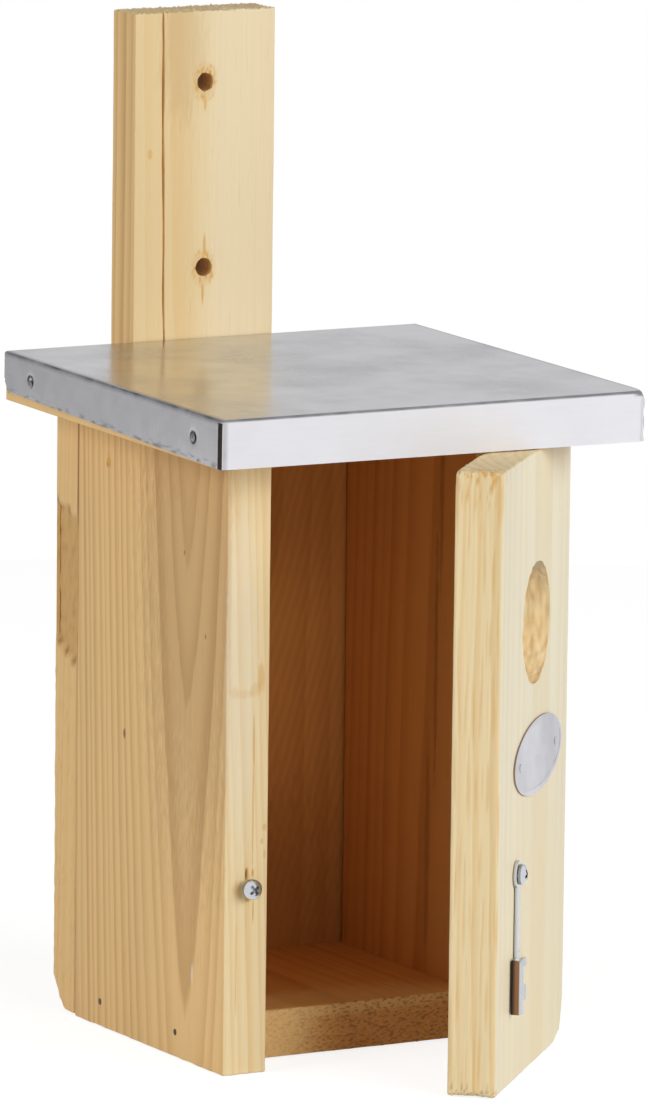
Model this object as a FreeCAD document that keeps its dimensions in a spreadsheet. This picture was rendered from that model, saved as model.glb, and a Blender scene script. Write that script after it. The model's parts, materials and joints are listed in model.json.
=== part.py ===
# Bird nest box: softwood boards, a folded sheet-metal roof, a hanging batten and a hinged front
# that a swinging hook holds shut. Lengths are in millimetres and angles in degrees.
#
# Row frame: the origin lies midway between the two hanging holes on the batten's rear face,
# +X to the right seen from the front, +Y into the wall and +Z up.
import FreeCAD, Part
import math
import os
from types import SimpleNamespace

import Sketcher
from FreeCAD import Placement, Rotation, Vector

# Driving sizes: alias, value and what it measures
SIZES = [
    ("board_thickness", 18.0, "every planed board"),
    ("box_width", 133.0, "across the outer faces of the sides"),
    ("side_depth", 117.2, "left side board, front to back"),
    ("front_height", 232.5, "sides at their front edge"),
    ("roof_slope", 1.0, "fall of the roof towards the front, degrees"),
    ("roof_overhang_side", 22.0, "roof board past each side"),
    ("roof_overhang_front", 35.3, "roof board past the front"),
    ("roof_rear_gap", 0.3, "roof board short of the batten"),
    ("roof_edge_ease", 1.0, "rounding of the roof board's top edges"),
    ("sheet_thickness", 0.6, "roof sheet"),
    ("sheet_bend_radius", 1.3, "outside of the sheet's folds"),
    ("sheet_strip_front", 0.4, "bare board under the flanges at the front"),
    ("sheet_strip_rear", 2.8, "bare board under the side flanges at the rear"),
    ("sheet_corner_slit", 1.0, "open seam at each front corner"),
    ("sheet_nail_front", 14.2, "front pair of sheet nails, ahead of the sides"),
    ("sheet_nail_rear", 113.8, "rear pair of sheet nails, behind the front edge"),
    ("floor_lift", 0.4, "floor above the sides' lower ends"),
    ("floor_nail_front", 37.2, "front pair of floor nails, from the front edge"),
    ("floor_nail_rear", 97.0, "rear pair of floor nails, from the front edge"),
    ("back_lift", 0.8, "back board above the sides' lower ends"),
    ("back_rear_ease", 6.0, "rounding of the back board's lower rear edge"),
    ("wane_depth", 1.4, "waney hollow in the back board's left edge"),
    ("wane_foot", 133.5, "lowest point of the waney hollow"),
    ("wane_top", 196.0, "highest point of the waney hollow"),
    ("wane_foot_rise", 9.5, "rise of the hollow's lower edge to the rear"),
    ("wane_top_rise", 5.7, "rise of the hollow's upper edge to the rear"),
    ("back_nail_foot", 34.0, "lowest back nail into each side"),
    ("back_nail_pitch", 78.0, "between the back nails"),
    ("back_floor_nail_spread", 30.0, "between the back nails into the floor"),
    ("roof_nail_front", 25.0, "front pair of roof nails, from the front edge"),
    ("roof_nail_rear", 92.0, "rear pair of roof nails, from the front edge"),
    ("roof_back_nail_spread", 70.0, "between the roof nails into the back board"),
    ("batten_width", 60.0, "hanging batten"),
    ("batten_shift", 4.3, "batten's middle left of the box's middle"),
    ("batten_foot", 2.0, "batten's lower end above the sides' lower ends"),
    ("batten_top", 377.8, "batten's upper end above the sides' lower ends"),
    ("hanging_hole_radius", 3.5, "hanging holes"),
    ("hanging_hole_drop", 26.9, "upper hanging hole below the batten's upper end"),
    ("hanging_hole_spacing", 70.5, "between the hanging holes"),
    ("batten_screw_foot", 32.0, "lowest batten screw above the sides' lower ends"),
    ("batten_screw_pitch", 80.0, "between the batten screws"),
    ("door_angle", 46.9, "door's opening at rest, degrees"),
    ("door_free_gap", 2.0, "door to the left side board"),
    ("door_rear_gap", 0.5, "door to the floor and the right side board"),
    ("door_foot_gap", 0.6, "door above the sides' lower ends"),
    ("door_top_gap", 0.6, "door below the lowest point of the roof board"),
    ("door_edge_ease", 1.2, "rounding of the door's upright edges"),
    ("entrance_radius", 22.7, "entrance hole"),
    ("entrance_reach", 57.9, "entrance hole from the door's free edge"),
    ("entrance_height", 167.3, "entrance hole above the sides' lower ends"),
    ("plate_length", 78.0, "oval plate"),
    ("plate_height", 28.0, "oval plate"),
    ("plate_thickness", 0.8, "oval plate"),
    ("plate_rim", 2.2, "raised rim of the oval plate"),
    ("plate_recess", 0.25, "field of the oval plate below its rim"),
    ("plate_reach", 61.5, "oval plate from the door's free edge"),
    ("plate_rise", 117.3, "oval plate above the sides' lower ends"),
    ("plate_nail_spread", 58.0, "between the oval plate's nails"),
    ("catch_reach", 9.5, "catch screw from the left outer face"),
    ("catch_height", 70.0, "catch screw above the sides' lower ends"),
    ("catch_stand_off", 3.4, "catch screw's head from the board"),
    ("pivot_reach", 29.0, "hook's pivot screw from the door's free edge"),
    ("pivot_height", 78.5, "hook's pivot screw above the sides' lower ends"),
    ("hook_air", 0.3, "hook to the door and to its screw's head"),
    ("hook_thickness", 1.2, "hook's strip"),
    ("hook_eye_radius", 5.2, "hook's eye"),
    ("hook_bar_width", 4.5, "hook's bar"),
    ("hook_tab_reach", 7.5, "finger tab from the bar's middle"),
    ("hook_tab_height", 4.8, "finger tab's outer rim from the hook's rear face"),
    ("hook_tab_tail", 1.6, "finger tab past the lower prong"),
    ("hook_tab_shoulder", 3.0, "rounding of the finger tab's upper corner"),
    ("hook_tab_round", 1.5, "rounding of the finger tab's lower corner"),
    ("hook_prong_reach", 14.2, "prong tips from the bar's middle"),
    ("hook_prong_width", 6.0, "lower prong, and the hook's shoulder above the notch"),
    ("hook_spur_width", 3.3, "upper prong"),
    ("hook_prong_round", 1.5, "rounding of the prong tips"),
    ("hook_notch_width", 6.7, "notch over the catch screw"),
    ("hook_notch_root", 2.0, "notch's bottom from the bar's middle"),
    ("hook_seat_air", 0.3, "catch screw to the notch's bottom when latched"),
    ("pan_shank_radius", 2.0, "pan head screws"),
    ("pan_head_radius", 3.8, "pan head screws"),
    ("pan_head_height", 2.7, "pan head screws"),
    ("pan_screw_depth", 14.0, "pan head screws in the wood"),
    ("cross_recess_span", 4.4, "cross recess of the pan head screws"),
    ("cross_recess_width", 0.9, "cross recess of the pan head screws"),
    ("cross_recess_depth", 1.4, "cross recess of the pan head screws"),
    ("hinge_length", 40.0, "each butt hinge"),
    ("hinge_leaf_width", 14.0, "hinge leaf from the pin's axis"),
    ("hinge_leaf_thickness", 1.2, "hinge leaf"),
    ("hinge_pin_radius", 1.25, "hinge pin"),
    ("hinge_pin_head_radius", 1.9, "hinge pin's riveted ends"),
    ("hinge_pin_head_height", 0.7, "hinge pin's riveted ends"),
    ("hinge_knuckle_wall", 1.2, "rolled knuckle"),
    ("hinge_knuckle_gap", 0.3, "between neighbouring knuckles"),
    ("hinge_air", 0.35, "knuckles to the boards and to the other leaf"),
    ("hinge_low", 45.0, "middle of the lower hinge above the sides' lower ends"),
    ("hinge_high", 47.5, "middle of the upper hinge below the sides' upper front ends"),
    ("hinge_screw_reach", 8.8, "hinge screws from the pin's axis"),
    ("hinge_screw_spacing", 24.0, "between the screws of a leaf"),
    ("hinge_screw_length", 12.0, "hinge screws"),
    ("hinge_screw_radius", 1.4, "hinge screws"),
    ("hinge_screw_head_radius", 2.6, "hinge screws' countersunk heads"),
    ("batten_screw_length", 33.0, "batten screws"),
    ("batten_screw_radius", 2.0, "batten screws"),
    ("batten_screw_head_radius", 3.9, "batten screws' countersunk heads"),
    ("nail_length", 45.0, "nails through the boards"),
    ("nail_radius", 0.9, "nails through the boards"),
    ("nail_head_radius", 1.4, "nails' lost heads"),
    ("nail_head_height", 1.2, "nails' lost heads"),
    ("tack_length", 14.0, "sheet and plate nails"),
    ("tack_radius", 0.7, "sheet and plate nails"),
    ("tack_head_radius", 1.5, "sheet and plate nails' round heads"),
    ("tack_head_height", 0.9, "sheet and plate nails' round heads"),
    ("fit_clearance", 0.05, "round a fastener or a hinge pin"),
    ("bore_spare", 0.5, "bore past a fastener's point"),
]

# Counts, and the proportions of small rounded forms to the piece that carries them
BACK_NAILS_PER_SIDE = 3
BATTEN_SCREW_COUNT = 3
TACK_CROWN_SHARE = 0.6
PAN_RIM_SHARE = 0.4
PAN_DOME_SHARE = 0.62
PAN_DOME_DROP_SHARE = 0.12
NOTCH_ROUND_SHARE = 0.45
TAB_BEND_SHARE = 0.8

doc = FreeCAD.newDocument("bird_nest_box")
sheet = doc.addObject("Spreadsheet::Sheet", "Sizes")
for row, (alias, value, note) in enumerate(SIZES, start=1):
    sheet.set(f"A{row}", note)
    sheet.set(f"B{row}", str(value))
    sheet.setAlias(f"B{row}", alias)
doc.recompute()


class Size:
    """A length that knows its number and the sheet formula that it follows."""

    def __init__(self, number, formula):
        self.number = number
        self.formula = formula

    def __add__(self, other):
        other = as_size(other)
        return Size(self.number + other.number, f"({self.formula} + {other.formula})")

    def __sub__(self, other):
        other = as_size(other)
        return Size(self.number - other.number, f"({self.formula} - {other.formula})")

    def __mul__(self, other):
        other = as_size(other)
        return Size(self.number * other.number, f"({self.formula} * {other.formula})")

    def __truediv__(self, other):
        other = as_size(other)
        return Size(self.number / other.number, f"({self.formula} / {other.formula})")

    def __neg__(self):
        return Size(-self.number, f"(0 - {self.formula})")


def as_size(value):
    """Take a Size as it is, and a plain number as a fixed one."""
    return value if isinstance(value, Size) else Size(float(value), repr(float(value)))


def sine(angle):
    return Size(math.sin(math.radians(angle.number)), f"sin({angle.formula})")


def cosine(angle):
    return Size(math.cos(math.radians(angle.number)), f"cos({angle.formula})")


def root(area):
    return Size(math.sqrt(area.number), f"sqrt({area.formula})")


NOTHING = as_size(0)
s = SimpleNamespace(**{alias: Size(float(sheet.get(alias)), f"Sizes.{alias}") for alias, _, _ in SIZES})

# Places that several pieces share, in the box's frame: its left, front, lower corner is the origin
slope_rise = sine(s.roof_slope) / cosine(s.roof_slope)
inner_right = s.box_width - s.board_thickness
front_inside = s.board_thickness + s.door_rear_gap
back_rear = s.side_depth + s.board_thickness
batten_rear = back_rear + s.board_thickness
batten_middle = s.box_width / 2 - s.batten_shift
floor_middle = s.floor_lift + s.board_thickness / 2
upper_hole = s.batten_top - s.hanging_hole_drop
lower_hole = upper_hole - s.hanging_hole_spacing
knuckle_radius = s.hinge_pin_radius + s.fit_clearance + s.hinge_knuckle_wall
pin_stand_off = knuckle_radius + s.hinge_air
pin_depth = s.board_thickness + s.door_rear_gap / 2
roof_length = back_rear - s.roof_rear_gap
hinge_middles = {"lower": s.hinge_low, "upper": s.front_height - s.hinge_high}

# The same for the door's frame: its origin is the hinge pin's axis, with the door shut
door_front = -pin_depth
door_rear = -s.door_rear_gap / 2
door_width = s.box_width - s.board_thickness - s.door_free_gap
door_right = -pin_stand_off
door_left = door_right - door_width
door_top = s.front_height - s.roof_overhang_front * slope_rise - s.door_top_gap
pivot_across = door_left + s.pivot_reach

# Where the two frames stand in the row
box_corner = (
    -batten_middle,
    -batten_rear,
    -(upper_hole + lower_hole) / 2,
)
roof_corner = (box_corner[0], box_corner[1], box_corner[2] + s.front_height)
pin_foot = (box_corner[0] + s.box_width + pin_stand_off, box_corner[1] + pin_depth, box_corner[2])

X_AXIS = Vector(1, 0, 0)
Y_AXIS = Vector(0, 1, 0)
Z_AXIS = Vector(0, 0, 1)
# How a rod that stands along +Z is turned to point another way
TO_RIGHT = (Y_AXIS, as_size(90))
TO_LEFT = (Y_AXIS, as_size(-90))
TO_REAR = (X_AXIS, as_size(-90))
TO_FRONT = (X_AXIS, as_size(90))
DOWN = (X_AXIS, as_size(180))
UP = (Z_AXIS, NOTHING)
SQUARE_TO_ROOF = (X_AXIS, as_size(180) + s.roof_slope)

nodes = []


def place(thing, base, turn=UP):
    """Bind a thing's place and turn to the sheet."""
    axis, angle = turn
    corner = Vector(*(part.number for part in base))
    thing.Placement = Placement(corner, Rotation(axis, angle.number))
    for letter, part in zip("xyz", base):
        thing.setExpression(f"Placement.Base.{letter}", part.formula)
    if "Sizes" in angle.formula:
        thing.setExpression("Placement.Rotation.Angle", angle.formula)


def in_box(thing, label):
    """Hand in a thing of the box's frame as a node."""
    thing.Label = label
    place(thing, box_corner)
    nodes.append(thing)
    return thing


def on_roof(thing, label):
    """Hand in a thing of the roof's sloping frame as a node."""
    thing.Label = label
    place(thing, roof_corner, (X_AXIS, s.roof_slope))
    nodes.append(thing)
    return thing


def on_door(thing, label):
    """Hand in a thing of the door's frame as a node, swung open as the door rests."""
    thing.Label = label
    place(thing, pin_foot, (Z_AXIS, s.door_angle))
    nodes.append(thing)
    return thing


def bind(thing, **sizes):
    """Bind a thing's own sizes to the sheet."""
    for name, value in sizes.items():
        thing.setExpression(name, as_size(value).formula)


def block(name, low, high):
    """A box between two corners."""
    made = doc.addObject("Part::Box", name)
    length, width, height = (top - foot for foot, top in zip(low, high))
    bind(made, Length=length, Width=width, Height=height)
    place(made, low)
    return made


def rod(name, base, turn, radius, length):
    """A round bar from a point along a direction."""
    made = doc.addObject("Part::Cylinder", name)
    bind(made, Radius=radius, Height=length)
    place(made, base, turn)
    return made


def taper(name, base, turn, radius, far_radius, length):
    """A round taper from a point along a direction."""
    made = doc.addObject("Part::Cone", name)
    bind(made, Radius1=radius, Radius2=far_radius, Height=length)
    place(made, base, turn)
    return made


def joined(name, pieces):
    made = doc.addObject("Part::MultiFuse", name)
    made.Shapes = pieces
    return made


def cut(name, blank, tools):
    """A blank with its bores or hollows taken out."""
    made = doc.addObject("Part::Cut", name)
    made.Base = blank
    made.Tool = tools[0] if len(tools) == 1 else joined(name + "_tools", tools)
    return made


def new_body(name):
    return doc.addObject("PartDesign::Body", name)


def sketch_on(body, name, role, offset=NOTHING):
    """An empty sketch on one of the body's own planes, or on a plane beside it."""
    sketch = body.newObject("Sketcher::SketchObject", name)
    plane = next(item for item in body.Origin.OriginFeatures if item.Role == role)
    sketch.AttachmentSupport = [(plane, "")]
    sketch.MapMode = "FlatFace"
    sketch.setExpression("AttachmentOffset.Base.z", offset.formula)
    return sketch


def hold_point(sketch, geometry, position, x, y):
    """Tie a point of a sketch to its place from the sketch's origin."""
    for kind, measure in (("DistanceX", x), ("DistanceY", y)):
        index = sketch.addConstraint(Sketcher.Constraint(kind, -1, 1, geometry, position, measure.number))
        sketch.setExpression(f"Constraints[{index}]", measure.formula)


def outline(body, name, role, points, offset=NOTHING):
    """A sketch of one straight-sided closed outline."""
    sketch = sketch_on(body, name, role, offset)
    corners = [Vector(x.number, y.number, 0) for x, y in points]
    for index, corner in enumerate(corners):
        sketch.addGeometry(Part.LineSegment(corner, corners[(index + 1) % len(corners)]))
    for index in range(len(corners)):
        sketch.addConstraint(Sketcher.Constraint("Coincident", index, 2, (index + 1) % len(corners), 1))
    for index, (x, y) in enumerate(points):
        hold_point(sketch, index, 1, x, y)
    return sketch


def rectangle(body, name, role, low, high, offset=NOTHING):
    corners = [(low[0], low[1]), (high[0], low[1]), (high[0], high[1]), (low[0], high[1])]
    return outline(body, name, role, corners, offset)


def circle(body, name, role, centre, radius, offset=NOTHING):
    """A sketch of one circle."""
    sketch = sketch_on(body, name, role, offset)
    middle = Vector(centre[0].number, centre[1].number, 0)
    sketch.addGeometry(Part.Circle(middle, Z_AXIS, radius.number))
    hold_point(sketch, 0, 3, *centre)
    index = sketch.addConstraint(Sketcher.Constraint("Radius", 0, radius.number))
    sketch.setExpression(f"Constraints[{index}]", radius.formula)
    return sketch


def pad(body, name, sketch, length, backwards=False):
    made = body.newObject("PartDesign::Pad", name)
    made.Profile = sketch
    bind(made, Length=length)
    made.Reversed = backwards
    sketch.Visibility = False
    return made


def pocket(body, name, sketch, length, backwards=False):
    """A hollow cut from a sketch, which has to take something away."""
    doc.recompute()
    before = body.Shape.Volume
    made = body.newObject("PartDesign::Pocket", name)
    made.Profile = sketch
    bind(made, Length=length)
    made.Reversed = backwards
    doc.recompute()
    if not body.Shape.Volume < before:
        raise RuntimeError(f"{name} cuts nothing")
    return made


def fillet(body, name, radius, wanted):
    """Round the edges of a body that a test picks."""
    doc.recompute()
    base = body.Tip
    picked = [f"Edge{i}" for i, edge in enumerate(base.Shape.Edges, start=1) if wanted(edge)]
    if not picked:
        raise RuntimeError(f"{name} finds no edge")
    made = body.newObject("PartDesign::Fillet", name)
    made.Base = (base, picked)
    bind(made, Radius=radius)
    return made


def near(value, size):
    return abs(value - size.number) < 1e-4


def runs_along(edge, axis):
    """Whether an edge is straight and lies along an axis."""
    ends = edge.Vertexes
    return len(ends) == 2 and abs(abs((ends[1].Point - ends[0].Point).normalize().dot(axis)) - 1) < 1e-6


# Fasteners: each gives its solids and the bores that it sits in
def nail(name, base, turn):
    """A lost-head nail driven flush: its pieces and its bore."""
    pieces = [
        rod(name + "_shank", base, turn, s.nail_radius, s.nail_length),
        rod(name + "_head", base, turn, s.nail_head_radius, s.nail_head_height),
    ]
    bores = [
        rod(name + "_bore", base, turn, s.nail_radius + s.fit_clearance, s.nail_length + s.bore_spare),
        rod(name + "_seat", base, turn, s.nail_head_radius + s.fit_clearance, s.nail_head_height),
    ]
    return pieces, bores


def tack(name, base, turn, away):
    """A round-head nail whose head stands on the surface: its pieces and its bore."""
    crown = s.tack_head_radius * TACK_CROWN_SHARE
    pieces = [
        rod(name + "_shank", base, turn, s.tack_radius, s.tack_length),
        taper(name + "_head", base, away, s.tack_head_radius, crown, s.tack_head_height),
    ]
    bores = [rod(name + "_bore", base, turn, s.tack_radius + s.fit_clearance, s.tack_length + s.bore_spare)]
    return pieces, bores


def flush_screw(name, base, turn, radius, head_radius, length):
    """A countersunk screw whose head is level with the surface: its pieces and its bore."""
    wide = head_radius + s.fit_clearance
    slim = radius + s.fit_clearance
    pieces = [
        rod(name + "_shank", base, turn, radius, length),
        taper(name + "_head", base, turn, head_radius, radius, head_radius - radius),
    ]
    bores = [
        rod(name + "_bore", base, turn, slim, length + s.bore_spare),
        taper(name + "_seat", base, turn, wide, slim, wide - slim),
    ]
    return pieces, bores


def fasteners(kind, places):
    """A row of like fasteners: all their pieces, and the bores of each."""
    made = [kind(*place_args) for place_args in places]
    pieces = [piece for own, _ in made for piece in own]
    return pieces, [bores for _, bores in made]


def flat(groups):
    return [item for group in groups for item in group]


def pan_screw(name, stand_off, depth):
    """A pan head screw along -Y, its head's underside a stand-off ahead of the surface at Y = 0."""
    body = new_body(name + "_turned")
    rim = stand_off + s.pan_head_height * PAN_RIM_SHARE
    crown = stand_off + s.pan_head_height
    dome_edge = crown - s.pan_head_height * PAN_DOME_DROP_SHARE
    points = [
        (NOTHING, depth),
        (s.pan_shank_radius, depth - s.pan_shank_radius),
        (s.pan_shank_radius, -stand_off),
        (s.pan_head_radius, -stand_off),
        (s.pan_head_radius, -rim),
        (s.pan_head_radius * PAN_DOME_SHARE, -dome_edge),
        (NOTHING, -crown),
    ]
    profile = outline(body, name + "_profile", "XY_Plane", points)
    turned = body.newObject("PartDesign::Revolution", name + "_revolve")
    turned.Profile = profile
    turned.ReferenceAxis = (profile, ["V_Axis"])
    turned.Angle = 360
    half_span = s.cross_recess_span / 2
    half_width = s.cross_recess_width / 2
    arms = (("level", half_span, half_width), ("upright", half_width, half_span))
    for way, across, upright in arms:
        arm = rectangle(body, f"{name}_{way}_arm", "XZ_Plane", (-across, -upright), (across, upright), crown)
        pocket(body, f"{name}_{way}_recess", arm, s.cross_recess_depth)
    return body


# Nails and screws of the box
floor_nail_places = []
for side, across, turn in (("left", NOTHING, TO_RIGHT), ("right", s.box_width, TO_LEFT)):
    for row_name, depth in (("front", s.floor_nail_front), ("rear", s.floor_nail_rear)):
        floor_nail_places.append((f"floor_nail_{side}_{row_name}", (across, depth, floor_middle), turn))
floor_nail_pieces, floor_nail_bores = fasteners(nail, floor_nail_places)

back_nail_places = []
half_board = s.board_thickness / 2
for side, across in (("left", half_board), ("right", s.box_width - half_board)):
    for step in range(BACK_NAILS_PER_SIDE):
        height = s.back_nail_foot + s.back_nail_pitch * step
        back_nail_places.append((f"back_nail_{side}_{step + 1}", (across, back_rear, height), TO_FRONT))
for side, way in (("left", -1), ("right", 1)):
    across = s.box_width / 2 + s.back_floor_nail_spread / 2 * way
    back_nail_places.append((f"back_floor_nail_{side}", (across, back_rear, floor_middle), TO_FRONT))
back_nail_pieces, back_nail_bores = fasteners(nail, back_nail_places)
left_back_bores = flat(back_nail_bores[:BACK_NAILS_PER_SIDE])
right_back_bores = flat(back_nail_bores[BACK_NAILS_PER_SIDE : 2 * BACK_NAILS_PER_SIDE])
floor_back_bores = flat(back_nail_bores[2 * BACK_NAILS_PER_SIDE :])

# Roof nails stand square to the roof, and their bores go on into the sides and the back
roof_nail_spots = []
for side, across in (("left", half_board), ("right", s.box_width - half_board)):
    for row_name, depth in (("front", s.roof_nail_front), ("rear", s.roof_nail_rear)):
        roof_nail_spots.append((f"roof_nail_{side}_{row_name}", across, depth))
for side, way in (("left", -1), ("right", 1)):
    across = s.box_width / 2 + s.roof_back_nail_spread / 2 * way
    roof_nail_spots.append((f"roof_nail_back_{side}", across, s.side_depth + half_board))
roof_nail_pieces, roof_nail_bores = fasteners(
    nail, [(name, (across, depth, s.board_thickness), DOWN) for name, across, depth in roof_nail_spots]
)
deep_roof_bores = []
for name, across, depth in roof_nail_spots:
    level = depth * cosine(s.roof_slope) - s.board_thickness * sine(s.roof_slope)
    height = s.front_height + depth * sine(s.roof_slope) + s.board_thickness * cosine(s.roof_slope)
    base = (across, level, height)
    wide = s.nail_radius + s.fit_clearance
    deep_roof_bores.append(rod(name + "_deep_bore", base, SQUARE_TO_ROOF, wide, s.nail_length + s.bore_spare))

sheet_nail_places = []
left_skin = -s.roof_overhang_side - s.sheet_thickness
right_skin = s.box_width + s.roof_overhang_side + s.sheet_thickness
sheet_flanges = (("left", left_skin, TO_RIGHT, TO_LEFT), ("right", right_skin, TO_LEFT, TO_RIGHT))
for side, across, turn, away in sheet_flanges:
    for row_name, depth in (("front", -s.sheet_nail_front), ("rear", s.sheet_nail_rear)):
        base = (across, depth, half_board)
        sheet_nail_places.append((f"sheet_nail_{side}_{row_name}", base, turn, away))
sheet_nail_pieces, sheet_nail_bores = fasteners(tack, sheet_nail_places)

batten_screw_places = []
for step in range(BATTEN_SCREW_COUNT):
    height = s.batten_screw_foot + s.batten_screw_pitch * step
    base = (batten_middle, batten_rear, height)
    sizes = (s.batten_screw_radius, s.batten_screw_head_radius, s.batten_screw_length)
    batten_screw_places.append((f"batten_screw_{step + 1}", base, TO_FRONT, *sizes))
batten_screw_pieces, batten_screw_bores = fasteners(flush_screw, batten_screw_places)

catch_bore = rod(
    "catch_bore",
    (s.catch_reach, NOTHING, s.catch_height),
    TO_REAR,
    s.pan_shank_radius + s.fit_clearance,
    s.pan_screw_depth + s.bore_spare,
)


def hinge_screws(name, across, depth, turn):
    """The two screws of every hinge leaf on one side, with their bores by hinge."""
    places = []
    for hinge, middle in hinge_middles.items():
        for end, way in (("low", -1), ("high", 1)):
            base = (across, depth, middle + s.hinge_screw_spacing / 2 * way)
            sizes = (s.hinge_screw_radius, s.hinge_screw_head_radius, s.hinge_screw_length)
            places.append((f"{name}_{hinge}_{end}", base, turn, *sizes))
    pieces, bores = fasteners(flush_screw, places)
    return pieces, {"lower": flat(bores[0:2]), "upper": flat(bores[2:4])}


leaf_face = s.box_width + s.hinge_leaf_thickness
box_hinge_pieces, box_hinge_bores = hinge_screws(
    "box_hinge_screw", leaf_face, pin_depth + s.hinge_screw_reach, TO_LEFT
)


# Boards of the box
def side_blank(name, front):
    """A side board with its top cut to the roof's slope."""
    body = new_body(name)
    rear_top = s.front_height + s.side_depth * slope_rise
    profile = [
        (front, NOTHING),
        (s.side_depth, NOTHING),
        (s.side_depth, rear_top),
        (front, s.front_height + front * slope_rise),
    ]
    pad(body, name + "_pad", outline(body, name + "_profile", "YZ_Plane", profile), s.board_thickness)
    return body


left_tools = flat(floor_nail_bores[0:2]) + left_back_bores + deep_roof_bores[0:2] + [catch_bore]
in_box(cut("left_side", side_blank("left_side_blank", NOTHING), left_tools), "left_side_board")

right_blank = side_blank("right_side_blank", front_inside)
place(right_blank, (inner_right, NOTHING, NOTHING))
right_tools = flat(floor_nail_bores[2:4]) + right_back_bores + deep_roof_bores[2:4]
in_box(cut("right_side", right_blank, right_tools + flat(box_hinge_bores.values())), "right_side_board")

back_body = new_body("back_blank")
back_profile = [
    (s.side_depth, s.back_lift),
    (back_rear, s.back_lift),
    (back_rear, s.front_height + back_rear * slope_rise),
    (s.side_depth, s.front_height + s.side_depth * slope_rise),
]
pad(back_body, "back_pad", outline(back_body, "back_profile", "YZ_Plane", back_profile), s.box_width)
wane_profile = [
    (s.side_depth, s.wane_foot),
    (back_rear, s.wane_foot + s.wane_foot_rise),
    (back_rear, s.wane_top),
    (s.side_depth, s.wane_top - s.wane_top_rise),
]
wane_sketch = outline(back_body, "wane_profile", "YZ_Plane", wane_profile)
pocket(back_body, "wane_hollow", wane_sketch, s.wane_depth, backwards=True)
fillet(
    back_body,
    "back_rear_rounding",
    s.back_rear_ease,
    lambda edge: runs_along(edge, X_AXIS)
    and near(edge.CenterOfMass.y, back_rear)
    and near(edge.CenterOfMass.z, s.back_lift),
)
back_tools = flat(back_nail_bores) + deep_roof_bores[4:6] + flat(batten_screw_bores)
in_box(cut("back", back_body, back_tools), "back_board")

floor_blank = block(
    "floor_blank",
    (s.board_thickness, front_inside, s.floor_lift),
    (inner_right, s.side_depth, s.floor_lift + s.board_thickness),
)
in_box(cut("floor", floor_blank, flat(floor_nail_bores) + floor_back_bores), "floor_board")

batten_blank = block(
    "batten_blank",
    (batten_middle - s.batten_width / 2, back_rear, s.batten_foot),
    (batten_middle + s.batten_width / 2, batten_rear, s.batten_top),
)
hanging_bores = [
    rod(name, (batten_middle, back_rear, height), TO_REAR, s.hanging_hole_radius, s.board_thickness)
    for name, height in (("upper_hanging_hole", upper_hole), ("lower_hanging_hole", lower_hole))
]
in_box(cut("batten", batten_blank, hanging_bores + flat(batten_screw_bores)), "hanging_batten")

roof_body = new_body("roof_blank")
roof_low = (-s.roof_overhang_side, -s.roof_overhang_front)
roof_high = (s.box_width + s.roof_overhang_side, roof_length)
roof_outline = rectangle(roof_body, "roof_outline", "XY_Plane", roof_low, roof_high)
pad(roof_body, "roof_pad", roof_outline, s.board_thickness)


def folded_edge(edge):
    """A top edge that the sheet folds over: the front and the two sides."""
    middle = edge.CenterOfMass
    return near(middle.z, s.board_thickness) and not near(middle.y, roof_length)


fillet(roof_body, "roof_edge_rounding", s.roof_edge_ease, folded_edge)
on_roof(cut("roof", roof_body, flat(roof_nail_bores) + flat(sheet_nail_bores)), "roof_board")

# Roof sheet: a rounded block less a smaller rounded block, trimmed along the side flanges and
# opened at the two front corners
sheet_top = s.board_thickness + s.sheet_thickness
sheet_front = -s.roof_overhang_front - s.sheet_thickness
past_rear = roof_length + s.sheet_thickness


def rounded_block(name, low, high, foot, top, radius):
    """A block whose front and side edges are rounded along the top."""
    body = new_body(name)
    ground = rectangle(body, name + "_outline", "XY_Plane", low, high, foot)
    pad(body, name + "_pad", ground, top - foot)
    fillet(
        body,
        name + "_folds",
        radius,
        lambda edge: near(edge.CenterOfMass.z, top) and not near(edge.CenterOfMass.y, high[1]),
    )
    return body


sheet_outside = rounded_block(
    "sheet_outside",
    (left_skin, sheet_front),
    (right_skin, roof_length),
    s.sheet_strip_front,
    sheet_top,
    s.sheet_bend_radius,
)
sheet_inside = rounded_block(
    "sheet_inside",
    roof_low,
    (roof_high[0], past_rear),
    NOTHING,
    s.board_thickness,
    s.sheet_bend_radius - s.sheet_thickness,
)
flange_trim = new_body("flange_trim")
trim_profile = [
    (-s.roof_overhang_front + s.sheet_bend_radius, s.sheet_strip_front),
    (past_rear, s.sheet_strip_front),
    (past_rear, s.sheet_strip_rear),
]
trim_sketch = outline(flange_trim, "trim_profile", "YZ_Plane", trim_profile, left_skin)
pad(flange_trim, "trim_pad", trim_sketch, right_skin - left_skin)
slit_rear = sheet_front + s.sheet_corner_slit
slit_top = s.board_thickness - s.sheet_bend_radius
slits = [
    block(name, (low, sheet_front, NOTHING), (high, slit_rear, slit_top))
    for name, low, high in (
        ("left_slit", left_skin, left_skin + s.sheet_corner_slit),
        ("right_slit", right_skin - s.sheet_corner_slit, right_skin),
    )
]
sheet_tools = [sheet_inside, flange_trim] + slits + flat(sheet_nail_bores)
on_roof(cut("sheet", sheet_outside, sheet_tools), "roof_sheet")


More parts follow.
